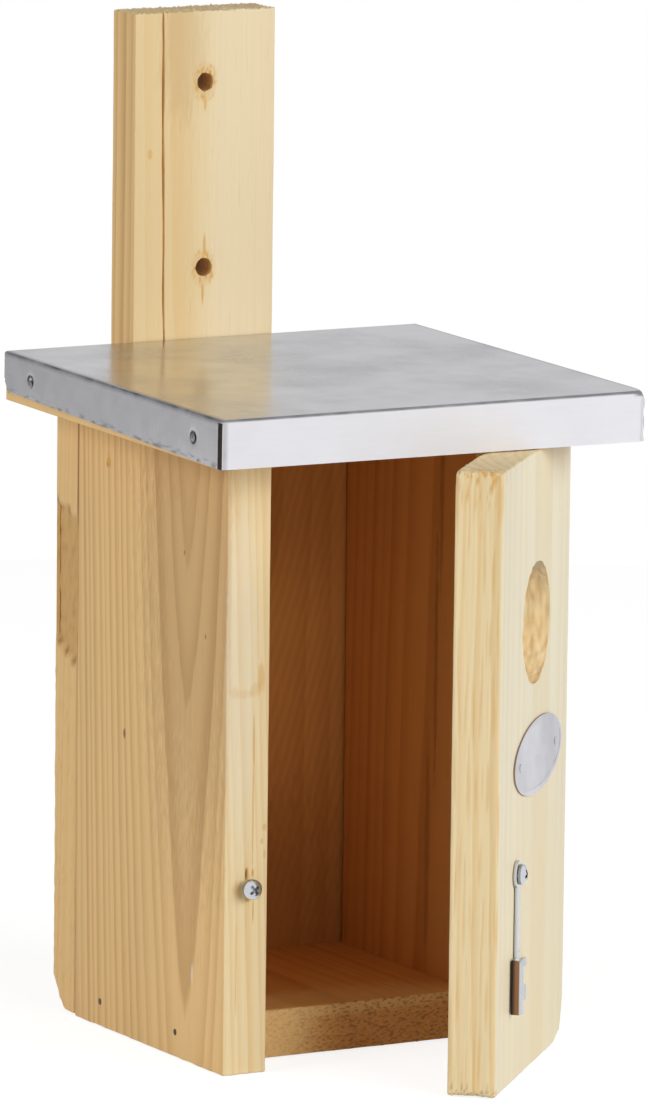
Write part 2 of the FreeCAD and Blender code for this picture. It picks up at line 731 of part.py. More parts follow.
# Butt hinges
def hinge_leaf(name, hinge, axis, way, bores):
    """A leaf rolled round the pin: way +1 lies on the side board, and -1 on the door."""
    middle = hinge_middles[hinge]
    foot = middle - s.hinge_length / 2
    top = middle + s.hinge_length / 2
    face = axis[0] - pin_stand_off
    tip = axis[1] + s.hinge_leaf_width * way
    span = (axis[1], tip) if way > 0 else (tip, axis[1])
    plate = block(name + "_plate", (face, span[0], foot), (face + s.hinge_leaf_thickness, span[1], top))
    barrel = rod(name + "_barrel", (*axis, foot), UP, knuckle_radius, s.hinge_length)
    bore_radius = s.hinge_pin_radius + s.fit_clearance
    pin_bore = rod(name + "_pin_bore", (*axis, foot), UP, bore_radius, s.hinge_length)
    third = s.hinge_length / 3
    half_gap = s.hinge_knuckle_gap / 2
    window = knuckle_radius + s.hinge_air
    if way > 0:
        spans = [(foot + third - half_gap, third + s.hinge_knuckle_gap)]
    else:
        spans = [(foot, third + half_gap), (top - third - half_gap, third + half_gap)]
    windows = [
        rod(f"{name}_window_{i}", (*axis, start), UP, window, length)
        for i, (start, length) in enumerate(spans)
    ]
    return cut(name, joined(name + "_blank", [plate, barrel]), [pin_bore] + windows + bores)


def hinge_pin(name, hinge, axis):
    """A pin with riveted ends, just clear of the knuckles."""
    foot = hinge_middles[hinge] - s.hinge_length / 2
    low = foot - s.fit_clearance
    length = s.hinge_length + s.fit_clearance * 2
    return joined(
        name,
        [
            rod(name + "_shank", (*axis, low), UP, s.hinge_pin_radius, length),
            rod(name + "_foot", (*axis, low), DOWN, s.hinge_pin_head_radius, s.hinge_pin_head_height),
            rod(name + "_head", (*axis, low + length), UP, s.hinge_pin_head_radius, s.hinge_pin_head_height),
        ],
    )


box_axis = (s.box_width + pin_stand_off, pin_depth)
door_axis = (NOTHING, NOTHING)
door_hinge_pieces, door_hinge_bores = hinge_screws(
    "door_hinge_screw", door_right + s.hinge_leaf_thickness, -s.hinge_screw_reach, TO_LEFT
)
for hinge in hinge_middles:
    box_leaf = hinge_leaf(f"{hinge}_box_leaf", hinge, box_axis, 1, box_hinge_bores[hinge])
    in_box(box_leaf, f"{hinge}_hinge_box_leaf")
    in_box(hinge_pin(f"{hinge}_pin", hinge, box_axis), f"{hinge}_hinge_pin")
    door_leaf = hinge_leaf(f"{hinge}_door_leaf", hinge, door_axis, -1, door_hinge_bores[hinge])
    on_door(door_leaf, f"{hinge}_hinge_door_leaf")

# Fasteners of the box as nodes
in_box(joined("floor_nail_group", floor_nail_pieces), "floor_nails")
in_box(joined("back_nail_group", back_nail_pieces), "back_nails")
on_roof(joined("roof_nail_group", roof_nail_pieces), "roof_nails")
on_roof(joined("sheet_nail_group", sheet_nail_pieces), "roof_sheet_nails")
in_box(joined("batten_screw_group", batten_screw_pieces), "batten_screws")
in_box(joined("box_hinge_screw_group", box_hinge_pieces), "hinge_box_screws")
catch = pan_screw("catch", s.catch_stand_off, s.pan_screw_depth)
catch.Label = "catch_screw"
place(catch, (box_corner[0] + s.catch_reach, box_corner[1], box_corner[2] + s.catch_height))
nodes.append(catch)

# Door with its oval plate, hook and screws
door_body = new_body("door_blank")
door_outline = rectangle(
    door_body, "door_outline", "XZ_Plane", (door_left, s.door_foot_gap), (door_right, door_top), -door_rear
)
pad(door_body, "door_pad", door_outline, s.board_thickness)
fillet(door_body, "door_edge_rounding", s.door_edge_ease, lambda edge: runs_along(edge, Z_AXIS))
entrance_centre = (door_left + s.entrance_reach, s.entrance_height)
entrance = circle(door_body, "entrance_outline", "XZ_Plane", entrance_centre, s.entrance_radius, -door_front)
pocket(door_body, "entrance_hole", entrance, s.board_thickness)

plate_across = door_left + s.plate_reach
field_front = door_front - s.plate_thickness + s.plate_recess
plate_nail_places = []
for side, way in (("left", -1), ("right", 1)):
    base = (plate_across + s.plate_nail_spread / 2 * way, field_front, s.plate_rise)
    plate_nail_places.append((f"plate_nail_{side}", base, TO_REAR, TO_FRONT))
plate_nail_pieces, plate_nail_bores = fasteners(tack, plate_nail_places)
pivot_bore = rod(
    "pivot_bore",
    (pivot_across, door_front, s.pivot_height),
    TO_REAR,
    s.pan_shank_radius + s.fit_clearance,
    s.pan_screw_depth + s.bore_spare,
)
door_tools = flat(door_hinge_bores.values()) + flat(plate_nail_bores) + [pivot_bore]
on_door(cut("door", door_body, door_tools), "door_board")
on_door(joined("door_hinge_screw_group", door_hinge_pieces), "hinge_door_screws")


def oval_slab(name, inset, base_depth, thickness):
    """An upright oval slab that grows towards the front."""
    edge = doc.addObject("Part::Ellipse", name + "_edge")
    bind(edge, MajorRadius=s.plate_length / 2 - inset, MinorRadius=s.plate_height / 2 - inset)
    place(edge, (plate_across, base_depth, s.plate_rise), TO_FRONT)
    slab = doc.addObject("Part::Extrusion", name)
    slab.Base = edge
    slab.DirMode = "Custom"
    slab.Dir = -Y_AXIS
    slab.Solid = True
    bind(slab, LengthFwd=thickness)
    return slab


plate_slab = oval_slab("plate_slab", NOTHING, door_front, s.plate_thickness)
plate_field = oval_slab("plate_field", s.plate_rim, field_front, s.plate_recess)
on_door(cut("plate", plate_slab, [plate_field] + flat(plate_nail_bores)), "oval_plate")
on_door(joined("plate_nail_group", plate_nail_pieces), "oval_plate_nails")

# The hook's screw and the hook hang from the same pivot
hook_stand_off = s.hook_thickness + s.hook_air * 2
hook_screw = pan_screw("hook_screw", hook_stand_off, s.pan_screw_depth)


def on_pivot(thing, label):
    """Hand in a thing made about the hook's pivot on the door's front face as a node."""
    thing.Label = label
    turn_sine = sine(s.door_angle)
    turn_cosine = cosine(s.door_angle)
    base = (
        pin_foot[0] + pivot_across * turn_cosine - door_front * turn_sine,
        pin_foot[1] + pivot_across * turn_sine + door_front * turn_cosine,
        pin_foot[2] + s.pivot_height,
    )
    place(thing, base, (Z_AXIS, s.door_angle))
    nodes.append(thing)


on_pivot(hook_screw, "hook_screw")

# Latched, the catch screw sits in the notch, so the notch lies as far from the pivot as the catch does
catch_across = s.box_width - s.catch_reach + pin_stand_off + pivot_across
catch_drop = s.pivot_height - s.catch_height
seat_across = s.hook_notch_root + s.pan_shank_radius + s.hook_seat_air
notch_reach = root(catch_across * catch_across + catch_drop * catch_drop - seat_across * seat_across)
notch_low = -notch_reach - s.hook_notch_width / 2
notch_high = -notch_reach + s.hook_notch_width / 2
hook_foot = notch_low - s.hook_prong_width
hook_shoulder = notch_high + s.hook_prong_width
spur_top = notch_high + s.hook_spur_width
tab_foot = hook_foot - s.hook_tab_tail
tab_outer = -s.hook_tab_reach
tab_inner = tab_outer + s.hook_thickness

hook_body = new_body("hook_strip")
hook_rear = s.hook_air
eye = circle(hook_body, "hook_eye_outline", "XZ_Plane", (NOTHING, NOTHING), s.hook_eye_radius, hook_rear)
pad(hook_body, "hook_eye", eye, s.hook_thickness)
half_bar = s.hook_bar_width / 2
bar = rectangle(
    hook_body, "hook_bar_outline", "XZ_Plane", (-half_bar, hook_shoulder), (half_bar, NOTHING), hook_rear
)
pad(hook_body, "hook_bar", bar, s.hook_thickness)
prong_outline = [
    (tab_outer, hook_shoulder),
    (tab_outer, tab_foot),
    (-half_bar, tab_foot),
    (-half_bar, hook_foot),
    (s.hook_prong_reach, hook_foot),
    (s.hook_prong_reach, notch_low),
    (s.hook_notch_root, notch_low),
    (s.hook_notch_root, notch_high),
    (s.hook_prong_reach, notch_high),
    (s.hook_prong_reach, spur_top),
    (half_bar, spur_top),
    (half_bar, hook_shoulder),
]
prongs = outline(hook_body, "hook_prong_outline", "XZ_Plane", prong_outline, hook_rear)
pad(hook_body, "hook_prongs", prongs, s.hook_thickness)
tab = rectangle(
    hook_body, "hook_tab_outline", "XZ_Plane", (tab_outer, tab_foot), (tab_inner, hook_shoulder), hook_rear
)
pad(hook_body, "hook_tab", tab, s.hook_tab_height)
eye_hole = circle(
    hook_body,
    "hook_eye_hole_outline",
    "XZ_Plane",
    (NOTHING, NOTHING),
    s.pan_shank_radius + s.fit_clearance,
    hook_rear + s.hook_thickness,
)
pocket(hook_body, "hook_eye_hole", eye_hole, s.hook_thickness)
fillet(
    hook_body,
    "prong_rounding",
    s.hook_prong_round,
    lambda edge: runs_along(edge, Y_AXIS) and near(edge.CenterOfMass.x, s.hook_prong_reach),
)
fillet(
    hook_body,
    "notch_rounding",
    s.hook_notch_width * NOTCH_ROUND_SHARE,
    lambda edge: runs_along(edge, Y_AXIS) and near(edge.CenterOfMass.x, s.hook_notch_root),
)
fillet(
    hook_body,
    "tab_bend",
    s.hook_thickness * TAB_BEND_SHARE,
    lambda edge: runs_along(edge, Z_AXIS)
    and near(edge.CenterOfMass.x, tab_outer)
    and near(edge.CenterOfMass.y, -hook_rear),
)
tab_rim = -hook_rear - s.hook_tab_height
tab_corners = (
    ("tab_upper_corner", s.hook_tab_shoulder, hook_shoulder),
    ("tab_lower_corner", s.hook_tab_round, tab_foot),
)
for name, radius, height in tab_corners:
    fillet(
        hook_body,
        name,
        radius,
        lambda edge: runs_along(edge, X_AXIS)
        and near(edge.CenterOfMass.y, tab_rim)
        and near(edge.CenterOfMass.z, height),
    )
on_pivot(hook_body, "latch_hook")

doc.recompute()
faults = [item.Label for item in doc.Objects if "Invalid" in item.State or "Error" in item.State]
for node in nodes:
    if node.Shape.isNull() or not node.Shape.isValid() or not node.Shape.Solids:
        faults.append(node.Label)
if faults:
    raise RuntimeError("not built: " + ", ".join(faults))

os.makedirs("parts", exist_ok=True)
for node in nodes:
    node.Shape.exportStep(f"parts/{node.Label}.step")
    print(f"{node.Label}: {len(node.Shape.Solids)} solid(s), {node.Shape.Volume:.1f} mm3")
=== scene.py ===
"""Bird nest box: planed pine boards, a folded sheet roof, a hinged front and its swinging hook.

Lengths are in metres in the part's own frame: +X right seen from the front, +Y into the wall, +Z up.
Each board also has directions of its own: across it, through its thickness and along its grain.
"""
import json
import math

import bmesh
import bpy
import numpy as np
from bpy.props import FloatProperty, FloatVectorProperty, PointerProperty
from mathutils import Matrix, Quaternion, Vector, noise


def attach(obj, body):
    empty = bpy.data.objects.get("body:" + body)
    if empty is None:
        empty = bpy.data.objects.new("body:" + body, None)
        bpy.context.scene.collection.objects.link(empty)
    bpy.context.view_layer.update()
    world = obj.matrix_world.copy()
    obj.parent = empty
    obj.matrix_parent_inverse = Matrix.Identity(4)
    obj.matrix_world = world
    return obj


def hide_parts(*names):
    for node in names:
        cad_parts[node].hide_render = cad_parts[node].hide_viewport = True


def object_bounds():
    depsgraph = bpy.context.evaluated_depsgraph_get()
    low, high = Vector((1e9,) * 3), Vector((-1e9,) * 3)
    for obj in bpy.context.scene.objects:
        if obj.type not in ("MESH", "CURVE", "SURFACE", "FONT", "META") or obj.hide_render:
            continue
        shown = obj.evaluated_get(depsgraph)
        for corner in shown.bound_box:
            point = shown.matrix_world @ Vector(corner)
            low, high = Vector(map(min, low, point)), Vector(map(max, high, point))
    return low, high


bl_info = {
    "name": "Bird Nest Box",
    "version": (1, 0, 0),
    "blender": (4, 5, 0),
    "location": "View3D > Sidebar > Nest Box",
    "description": "Timber, sheet metal and fasteners of a hinged bird nest box",
    "category": "Object",
}

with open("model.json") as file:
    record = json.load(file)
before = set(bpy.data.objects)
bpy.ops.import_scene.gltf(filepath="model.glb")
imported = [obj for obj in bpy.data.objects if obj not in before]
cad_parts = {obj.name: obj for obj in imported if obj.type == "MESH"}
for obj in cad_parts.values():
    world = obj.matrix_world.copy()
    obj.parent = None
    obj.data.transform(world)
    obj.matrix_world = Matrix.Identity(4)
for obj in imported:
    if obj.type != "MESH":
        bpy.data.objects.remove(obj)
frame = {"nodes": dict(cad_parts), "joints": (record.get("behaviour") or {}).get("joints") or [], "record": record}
NODES = frame["nodes"]
CAD_LOW, CAD_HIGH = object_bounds()
CAD_MIDDLE = (CAD_LOW + CAD_HIGH) / 2
MM = 0.001
X, Y, Z = np.eye(3)


def named(items, name):
    return next(item for item in items if item["name"] == name)


def cad_points(node):
    """Every corner of a CAD node."""
    points = np.zeros(len(NODES[node].data.vertices) * 3)
    NODES[node].data.vertices.foreach_get("co", points)
    return points.reshape(-1, 3)


def own_box(node, turn):
    """A node's lowest and highest corners along its own directions."""
    points = cad_points(node) @ turn
    return points.min(axis=0), points.max(axis=0)


def roof_fall():
    """The roof's slope, from the left side board's heights at its front and rear."""
    points = cad_points("left_side_board")
    ends = points[:, 1].min(), points[:, 1].max()
    front, rear = (points[np.isclose(points[:, 1], end, atol=1e-5), 2].max() for end in ends)
    return (rear - front) / (ends[1] - ends[0])


# Directions: the columns are across, through and along the grain
ROOF_FALL = roof_fall()
DOOR_ANGLE = -math.radians(named(frame["joints"], "door_swing")["range_deg"][0])
ON_DOOR = np.array(Matrix.Rotation(DOOR_ANGLE, 3, "Z"))
ON_ROOF = np.array(Matrix.Rotation(math.atan(ROOF_FALL), 3, "X"))
SQUARE = np.eye(3)
UPRIGHT_SIDE = np.column_stack((Y, -X, Z))
LEVEL = np.column_stack((X, -Z, Y))


def colour(name, description, default):
    return FloatVectorProperty(
        name=name, description=description, default=default, size=3, min=0.0, max=1.0, subtype="COLOR"
    )


def length(name, description, default):
    return FloatProperty(name=name, description=description, default=default, min=0.0, unit="LENGTH")


def angle(name, description, default):
    return FloatProperty(name=name, description=description, default=math.radians(default), subtype="ANGLE")


def level(name, description, default):
    return FloatProperty(name=name, description=description, default=default, min=0.0, soft_max=4.0)


class TimberSettings(bpy.types.PropertyGroup):
    """Sizes and tones of the boards"""

    edge_ease: length("Edge Ease", "Rounding of the boards' edges", 0.6 * MM)
    sawn_depth: length("Sawn Depth", "Roughness of the sawn ends", 0.3 * MM)
    ring_spacing: length("Ring Spacing", "Usual width of a growth ring", 3.2 * MM)
    crack_width: length("Crack Width", "Drying crack in the batten", 1.3 * MM)
    white_early: colour("White Early Wood", "Light part of a ring in the door", (0.805, 0.735, 0.56))
    white_late: colour("White Late Wood", "Dark part of a ring in the door", (0.77, 0.67, 0.462))
    pale_early: colour("Pale Early Wood", "Light part of a ring in the pale boards", (0.87, 0.70, 0.415))
    pale_late: colour("Pale Late Wood", "Dark part of a ring in the pale boards", (0.79, 0.565, 0.275))
    tan_early: colour("Tan Early Wood", "Light part of a ring on the outer faces", (0.885, 0.59, 0.26))
    tan_late: colour("Tan Late Wood", "Dark part of a ring on the outer faces", (0.65, 0.385, 0.15))
    # Painted shade: the inner tones are a deeper, redder wood for the faces inside the box and for the floor's
    # front edge.
    inner_early: colour("Inner Early Wood", "Light part of a ring inside the box", (0.74, 0.345, 0.097))
    inner_late: colour("Inner Late Wood", "Dark part of a ring inside the box", (0.61, 0.255, 0.062))
    resin: colour("Resin", "Resin streaks and torn fibres", (0.70, 0.38, 0.09))
    # This colour is also the painted shade in the box's inner corner, behind the roof sheet's seam, in the
    # batten's crack and holes, and in some spots.
    bark_and_shade: colour("Bark Side", "Waney hollow, knots, stains and cracks", (0.24, 0.098, 0.03))
    fresh: colour("Fresh Fibre", "Scratches and pale streaks", (0.86, 0.80, 0.66))


class MetalSettings(bpy.types.PropertyGroup):
    """Sizes and tones of the sheet metal and the fasteners"""

    roof: colour("Roof Sheet", "Rolled aluminium", (0.62, 0.618, 0.645))
    plate: colour("Oval Plate", "Satin aluminium", (0.69, 0.69, 0.725))
    plated: colour("Plated Steel", "Screws and hook", (0.62, 0.64, 0.67))
    hinge: colour("Hinge Steel", "Zinc plated hinges", (0.62, 0.62, 0.62))
    tack: colour("Tack Steel", "Dull heads of the roof sheet's tacks", (0.30, 0.30, 0.31))
    nail: colour("Nail Steel", "Drawn wire", (0.13, 0.09, 0.065))
    # Tarnish is also the painted shade on the fastener heads' rims and recesses. Blackened, it is the painted
    # shade round the roof tacks and at the hook tab's foot.
    tarnish_and_shade: colour("Tarnish", "Worn folds and recesses", (0.09, 0.09, 0.10))
    # This brown is a painted shade on the plate's edge and on the plate tacks' rims. On the hook's tab it stands
    # for worn plating and a painted reflection of the door's wood.
    rust_and_shade: colour("Rust", "Worn plating on the hook's tab and the plate's edge", (0.30, 0.16, 0.08))
    sheet_fold: length("Sheet Fold", "Outside radius of the roof sheet's folds", 1.3 * MM)
    sheet_gauge: length("Sheet Gauge", "Thickness of the roof sheet", 0.6 * MM)
    sheet_seam: length("Sheet Seam", "Open seam at the left front corner of the roof sheet", 3.0 * MM)


class StageSettings(bpy.types.PropertyGroup):
    """Camera and light"""

    yaw: angle("Yaw", "Camera's turn about the upright axis", -29.25)
    pitch: angle("Pitch", "Camera's look down", 9.39)
    roll: angle("Roll", "Camera's roll", 0.67)
    distance: length("Distance", "Camera to the point that it looks at", 3.42506)
    target: FloatVectorProperty(
        name="Target",
        description="Point that the camera looks at",
        default=(-0.022, -0.1532, -0.12246),
        subtype="TRANSLATION",
        unit="LENGTH",
    )
    lens: FloatProperty(name="Lens", description="Focal length in millimetres", default=305.1, min=1.0)
    key: level("Key", "Soft light from the front right", 0.34)
    front: level("Front", "Soft light from the front", 0.36)
    fill: level("Fill", "Soft light from the left", 0.36)
    ambient: level("Ambient", "Light from all round", 0.26)
    card: level("Card", "Grey card that the metal reflects", 0.715)


class Value:
    """A number in a node tree, so that sums of nodes are written as sums."""

    def __init__(self, tree, socket):
        self.tree = tree
        self.socket = socket

    def __add__(self, other):
        return self.tree.math("ADD", self, other)

    def __sub__(self, other):
        return self.tree.math("SUBTRACT", self, other)

    def __rsub__(self, other):
        return self.tree.math("SUBTRACT", other, self)

    def __mul__(self, other):
        return self.tree.math("MULTIPLY", self, other)

    def __truediv__(self, other):
        return self.tree.math("DIVIDE", self, other)

    def root(self):
        return self.tree.math("SQRT", self)


class Tree:
    """A node tree that is written as calls."""

    def __init__(self, tree):
        self.tree = tree

    def node(self, kind, inputs=None, **settings):
        """Add a node, set it up and feed its inputs, by name or number."""
        node = self.tree.nodes.new(kind)
        for name, value in settings.items():
            setattr(node, name, value)
        for name, value in (inputs or {}).items():
            self.feed(node.inputs[name], value)
        return node

    def feed(self, socket, value):
        """Link an input to a value or a socket, or set it."""
        source = value.socket if isinstance(value, Value) else value
        if isinstance(source, bpy.types.NodeSocket):
            self.tree.links.new(source, socket)
        else:
            socket.default_value = source

    def shader(self, kind, inputs=None, **settings):
        return self.node("ShaderNode" + kind, inputs, **settings).outputs[0]

    def geometry(self, kind, inputs=None, **settings):
        return self.node("GeometryNode" + kind, inputs, **settings).outputs[0]

    def math(self, operation, *values):
        return Value(self, self.shader("Math", dict(enumerate(values)), operation=operation))

    def vector(self, operation, *values):
        return self.shader("VectorMath", dict(enumerate(values)), operation=operation)

    def scaled(self, vector, amount):
        return self.shader("VectorMath", {0: vector, "Scale": amount}, operation="SCALE")

    def length(self, vector):
        node = self.node("ShaderNodeVectorMath", {0: vector}, operation="LENGTH")
        return Value(self, node.outputs["Value"])

    def parts(self, vector):
        return [Value(self, part) for part in self.node("ShaderNodeSeparateXYZ", {0: vector}).outputs]

    def smooth(self, value, low, high, start=0.0, end=1.0):
        """A smooth step of a value between two limits."""
        limits = {0: value, 1: low, 2: high, 3: start, 4: end}
        return Value(self, self.shader("MapRange", limits, interpolation_type="SMOOTHSTEP"))

    def mix(self, amount, first, second):
        return self.node("ShaderNodeMix", {0: amount, 6: first, 7: second}, data_type="RGBA").outputs[2]

    def noise(self, vector, stretch, detail=2.0, output="Fac"):
        """Noise with so many lumps to the metre in each direction."""
        place = self.vector("MULTIPLY", vector, stretch)
        node = self.node("ShaderNodeTexNoise", {"Vector": place, "Scale": 1.0, "Detail": detail})
        return Value(self, node.outputs[output])

    def attribute(self, name):
        return Value(self, self.node("ShaderNodeAttribute", attribute_name=name).outputs["Fac"])

    def surface(self, shader):
        self.node("ShaderNodeOutputMaterial", {"Surface": shader})


def rgba(values):
    return (*values, 1.0)


def cleared(owner):
    """The emptied node tree of a material or a world."""
    owner.use_nodes = True
    owner.node_tree.nodes.clear()
    return Tree(owner.node_tree)


def node_group(name, kind, inputs, outputs):
    """An empty node group with its sockets, as a tree and its given values."""
    group = bpy.data.node_groups.new(name, kind)
    for way, sockets in (("INPUT", inputs), ("OUTPUT", outputs)):
        for label, socket in sockets.items():
            group.interface.new_socket(label, in_out=way, socket_type="NodeSocket" + socket)
    tree = Tree(group)
    return tree, tree.node("NodeGroupInput").outputs


# How far the rings wander, and the radius at the tip of the grain's arches
RING_WANDER = 4.0 * MM
ARCH_TIP = 2.0 * MM


def softwood_group():
    """Growth rings round a leaning pith, with fibres along Z and rougher, darker end grain."""
    if "Softwood" in bpy.data.node_groups:
        return bpy.data.node_groups["Softwood"]
    inputs = {"Vector": "Vector", "Lean": "Vector", "Early": "Color", "Late": "Color"}
    inputs.update({"Ring Spacing": "Float", "Peak": "Float", "Seed": "Float"})
    outputs = {"Color": "Color", "Roughness": "Float", "Height": "Float"}
    tree, given = node_group("Softwood", "ShaderNodeTree", inputs, outputs)
    place, seed = given["Vector"], given["Seed"]
    shifted = tree.vector("ADD", place, tree.shader("CombineXYZ", {0: seed, 1: seed, 2: seed}))
    # Rings: distance from the pith, which wanders and leans along the grain
    drift = tree.vector("SUBTRACT", tree.noise(shifted, (14, 14, 3), 2.0, "Color"), (0.5, 0.5, 0.5))
    bent = tree.vector("ADD", place, tree.scaled(drift, RING_WANDER))
    _, _, along = tree.parts(place)
    aside, deep, _ = tree.parts(tree.vector("ADD", bent, tree.scaled(given["Lean"], along)))
    peak = ((aside * aside + ARCH_TIP**2).root() - ARCH_TIP) * given["Peak"]
    radius = (aside * aside + deep * deep + peak).root()
    fibre = tree.noise(shifted, (950, 950, 14), 3.0)
    count = radius / given["Ring Spacing"] + (fibre * 0.16 - 0.08)
    odd = {"W": count + seed, "Scale": 0.31}
    uneven = Value(tree, tree.shader("TexNoise", odd, noise_dimensions="1D"))
    phase = (uneven - 0.5) * 1.6 + count
    part = tree.math("FRACT", phase)
    ring = {"W": tree.math("FLOOR", phase) + seed}
    tone = Value(tree, tree.shader("TexWhiteNoise", ring, noise_dimensions="1D"))
    late = tree.smooth(part, 0.2, 0.95) * tree.smooth(part, 0.9, 1.0, 1.0, 0.0) * (tone * 0.6 + 0.4)
    plain = tree.mix(late, given["Early"], given["Late"])
    # Short dark vessels and broad patches along the grain
    fleck = tree.smooth(tree.noise(shifted, (1500, 1500, 55), 1.0), 0.66, 0.76)
    patch = tree.noise(shifted, (16, 16, 2.5))
    long_grain = tree.scaled(plain, fibre * 0.14 + (patch * 0.26 + 0.80) - fleck * 0.09)
    # End grain
    end = tree.attribute("end_grain")
    speckle = tree.noise(shifted, (1000, 1000, 300))
    blotch = tree.noise(shifted, (160, 160, 100))
    dim = tree.scaled(plain, speckle * 0.6 + (blotch * 0.5 + 0.2))
    end_grain = tree.vector("MULTIPLY", dim, (1.0, 0.90, 0.74))
    result = {
        "Color": tree.mix(end, long_grain, end_grain),
        "Roughness": fibre * 0.16 + (end * 0.2 + 0.48),
        "Height": fibre * 0.55 - late * 0.25 + end * speckle * 2.2,
    }
    tree.node("NodeGroupOutput", result)
    return tree.tree


def spot_group():
    """A ragged oval spot about a centre, for knots, resin and scratches, and for painted light and shade."""
    if "Spot" in bpy.data.node_groups:
        return bpy.data.node_groups["Spot"]
    inputs = {"Vector": "Vector", "Centre": "Vector", "Reach": "Vector"}
    tree, given = node_group("Spot", "ShaderNodeTree", inputs, {"Amount": "Float"})
    offset = tree.vector("SUBTRACT", given["Vector"], given["Centre"])
    ragged = tree.noise(given["Vector"], (900, 900, 160)) * 0.9 - 0.45
    away = tree.length(tree.vector("DIVIDE", offset, given["Reach"])) + ragged
    tree.node("NodeGroupOutput", {"Amount": tree.smooth(away, 0.45, 1.0, 1.0, 0.0)})
    return tree.tree


def saw_marks(tree, place, pitch, slope, depth):
    """Light left by fine slanting saw lines, a pitch in millimetres apart, that come and go in patches."""
    across, _, along = tree.parts(place)
    sway = tree.noise(place, (40, 40, 15)) * 9.0
    turn = (across - along * slope) * (2 * math.pi / (pitch * MM)) + sway
    line = tree.math("SINE", turn) * 0.5 + 0.5
    patch = tree.smooth(tree.noise(place, (20, 20, 9)), 0.4, 0.62)
    return 1.0 - line * patch * depth


# Dark ring round a nail head, as a spot's reach, stuff and strength, and how near a face the head is
NAIL_RING = ((1.3, 2.0, 1.3), "bark_and_shade", 0.9)
NEAR_FACE = 1.5


def nail_rings(board, corner):
    """Dark rings in the wood round a board's nail heads, as spots."""
    node, face = board.get("nailed", (None, 0.0))
    rings = []
    for solid in solids_of(node) if node else ():
        place = (solid @ board["turn"] - corner) / MM
        across, _, along = (place.min(axis=0) + place.max(axis=0)) / 2
        if np.abs(place[:, 1] - face).min() < NEAR_FACE:
            rings.append(((across, face, along), *NAIL_RING))
    return rings


def pine(board, corner):
    """Pine for one board, with its own pith, tones, knots and stains, and a painted light and shade on faces
    picked by the way they look.
    """
    timber = bpy.context.scene.nest_timber
    material = bpy.data.materials.new(board["node"] + "_pine")
    tree = cleared(material)
    pith = np.array(board["pith"]) * MM
    onto_board = {
        "Vector": tree.node("ShaderNodeTexCoord").outputs["Object"],
        "Location": tuple(-corner - pith),
        "Rotation": Matrix(board["turn"].T.tolist()).to_euler(),
    }
    place = tree.shader("Mapping", onto_board)
    values = {
        "Vector": place,
        "Lean": (*board["lean"], 0.0),
        "Ring Spacing": timber.ring_spacing * board.get("ring_share", 1.0),
        "Peak": board.get("peak", 0.0) * MM,
        "Seed": board["seed"],
    }
    # Painted light and shade: faces picked by the way they look take a second tone. It is deeper inside the box
    # and on the floor's front edge, paler on the door's free edge and top, and tan on the left board's big faces
    # and the batten's left edge, where their front faces stay pale.
    warm = tree.attribute("warm")
    for part in ("Early", "Late"):
        usual, painted_light_colour = (getattr(timber, f"{board[tone]}_{part.lower()}") for tone in ("tone", "painted_light_tone"))
        values[part] = tree.mix(warm, rgba(usual), rgba(painted_light_colour))
    wood = tree.node("ShaderNodeGroup", values, node_tree=softwood_group()).outputs
    tint = wood["Color"]
    if "saw_marks" in board:
        tint = tree.scaled(tint, saw_marks(tree, place, *board["saw_marks"]))
    for centre, reach, stuff, strength in (*board.get("spots", ()), *nail_rings(board, corner)):
        oval = {"Centre": tuple(np.array(centre) * MM - pith), "Reach": tuple(np.array(reach) * MM)}
        spot = tree.node("ShaderNodeGroup", {"Vector": place, **oval}, node_tree=spot_group())
        amount = tree.math("MULTIPLY", spot.outputs["Amount"], strength)
        tint = tree.mix(amount, tint, rgba(getattr(timber, stuff)))
    tint = tree.mix(tree.attribute("torn"), tint, rgba(timber.resin))
    # Stain and painted shade: from 0 to 1 it browns the wood, for real stains and for painted shade in the
    # batten's crack and holes, round the waney hollow and at the door's head. From 1 to 2 it blackens the wood, a
    # painted shade in the box's inner corner and behind the roof sheet's open seam.
    stain = tree.attribute("stain")
    tint = tree.mix(stain, tint, rgba(timber.bark_and_shade))
    relief = {"Height": wood["Height"], "Strength": 0.35, "Distance": 0.25 * MM}
    look = {
        "Base Color": tree.scaled(tint, 2.0 - tree.math("MAXIMUM", stain, 1.0)),
        "Roughness": wood["Roughness"],
        "Specular IOR Level": 0.3,
        "Normal": tree.shader("Bump", relief),
    }
    tree.surface(tree.shader("BsdfPrincipled", look))
    return material


# Metals: name, tone, roughness, rolling lines to the metre, strength of smudges and what wear and painted shade
# show
METALS = {
    "roof": ("Rolled Roof Sheet", "roof", 0.20, (60, 900, 900), 0.15, "tarnish_and_shade"),
    "plate": ("Satin Oval Plate", "plate", 0.50, (300, 300, 1500), 0.15, "rust_and_shade"),
    "screw": ("Bright Plated Screw", "plated", 0.14, (700, 700, 700), 0.08, "tarnish_and_shade"),
    "hook": ("Bright Plated Hook", "plated", 0.22, (700, 700, 200), 0.12, "rust_and_shade"),
    "hinge": ("Zinc Plated Hinge", "hinge", 0.32, (900, 900, 150), 0.14, "rust_and_shade"),
    "tack": ("Dull Tack", "tack", 0.30, (900, 900, 900), 0.20, "tarnish_and_shade"),
    "nail": ("Drawn Nail Wire", "nail", 0.50, (900, 900, 900), 0.20, "tarnish_and_shade"),
}


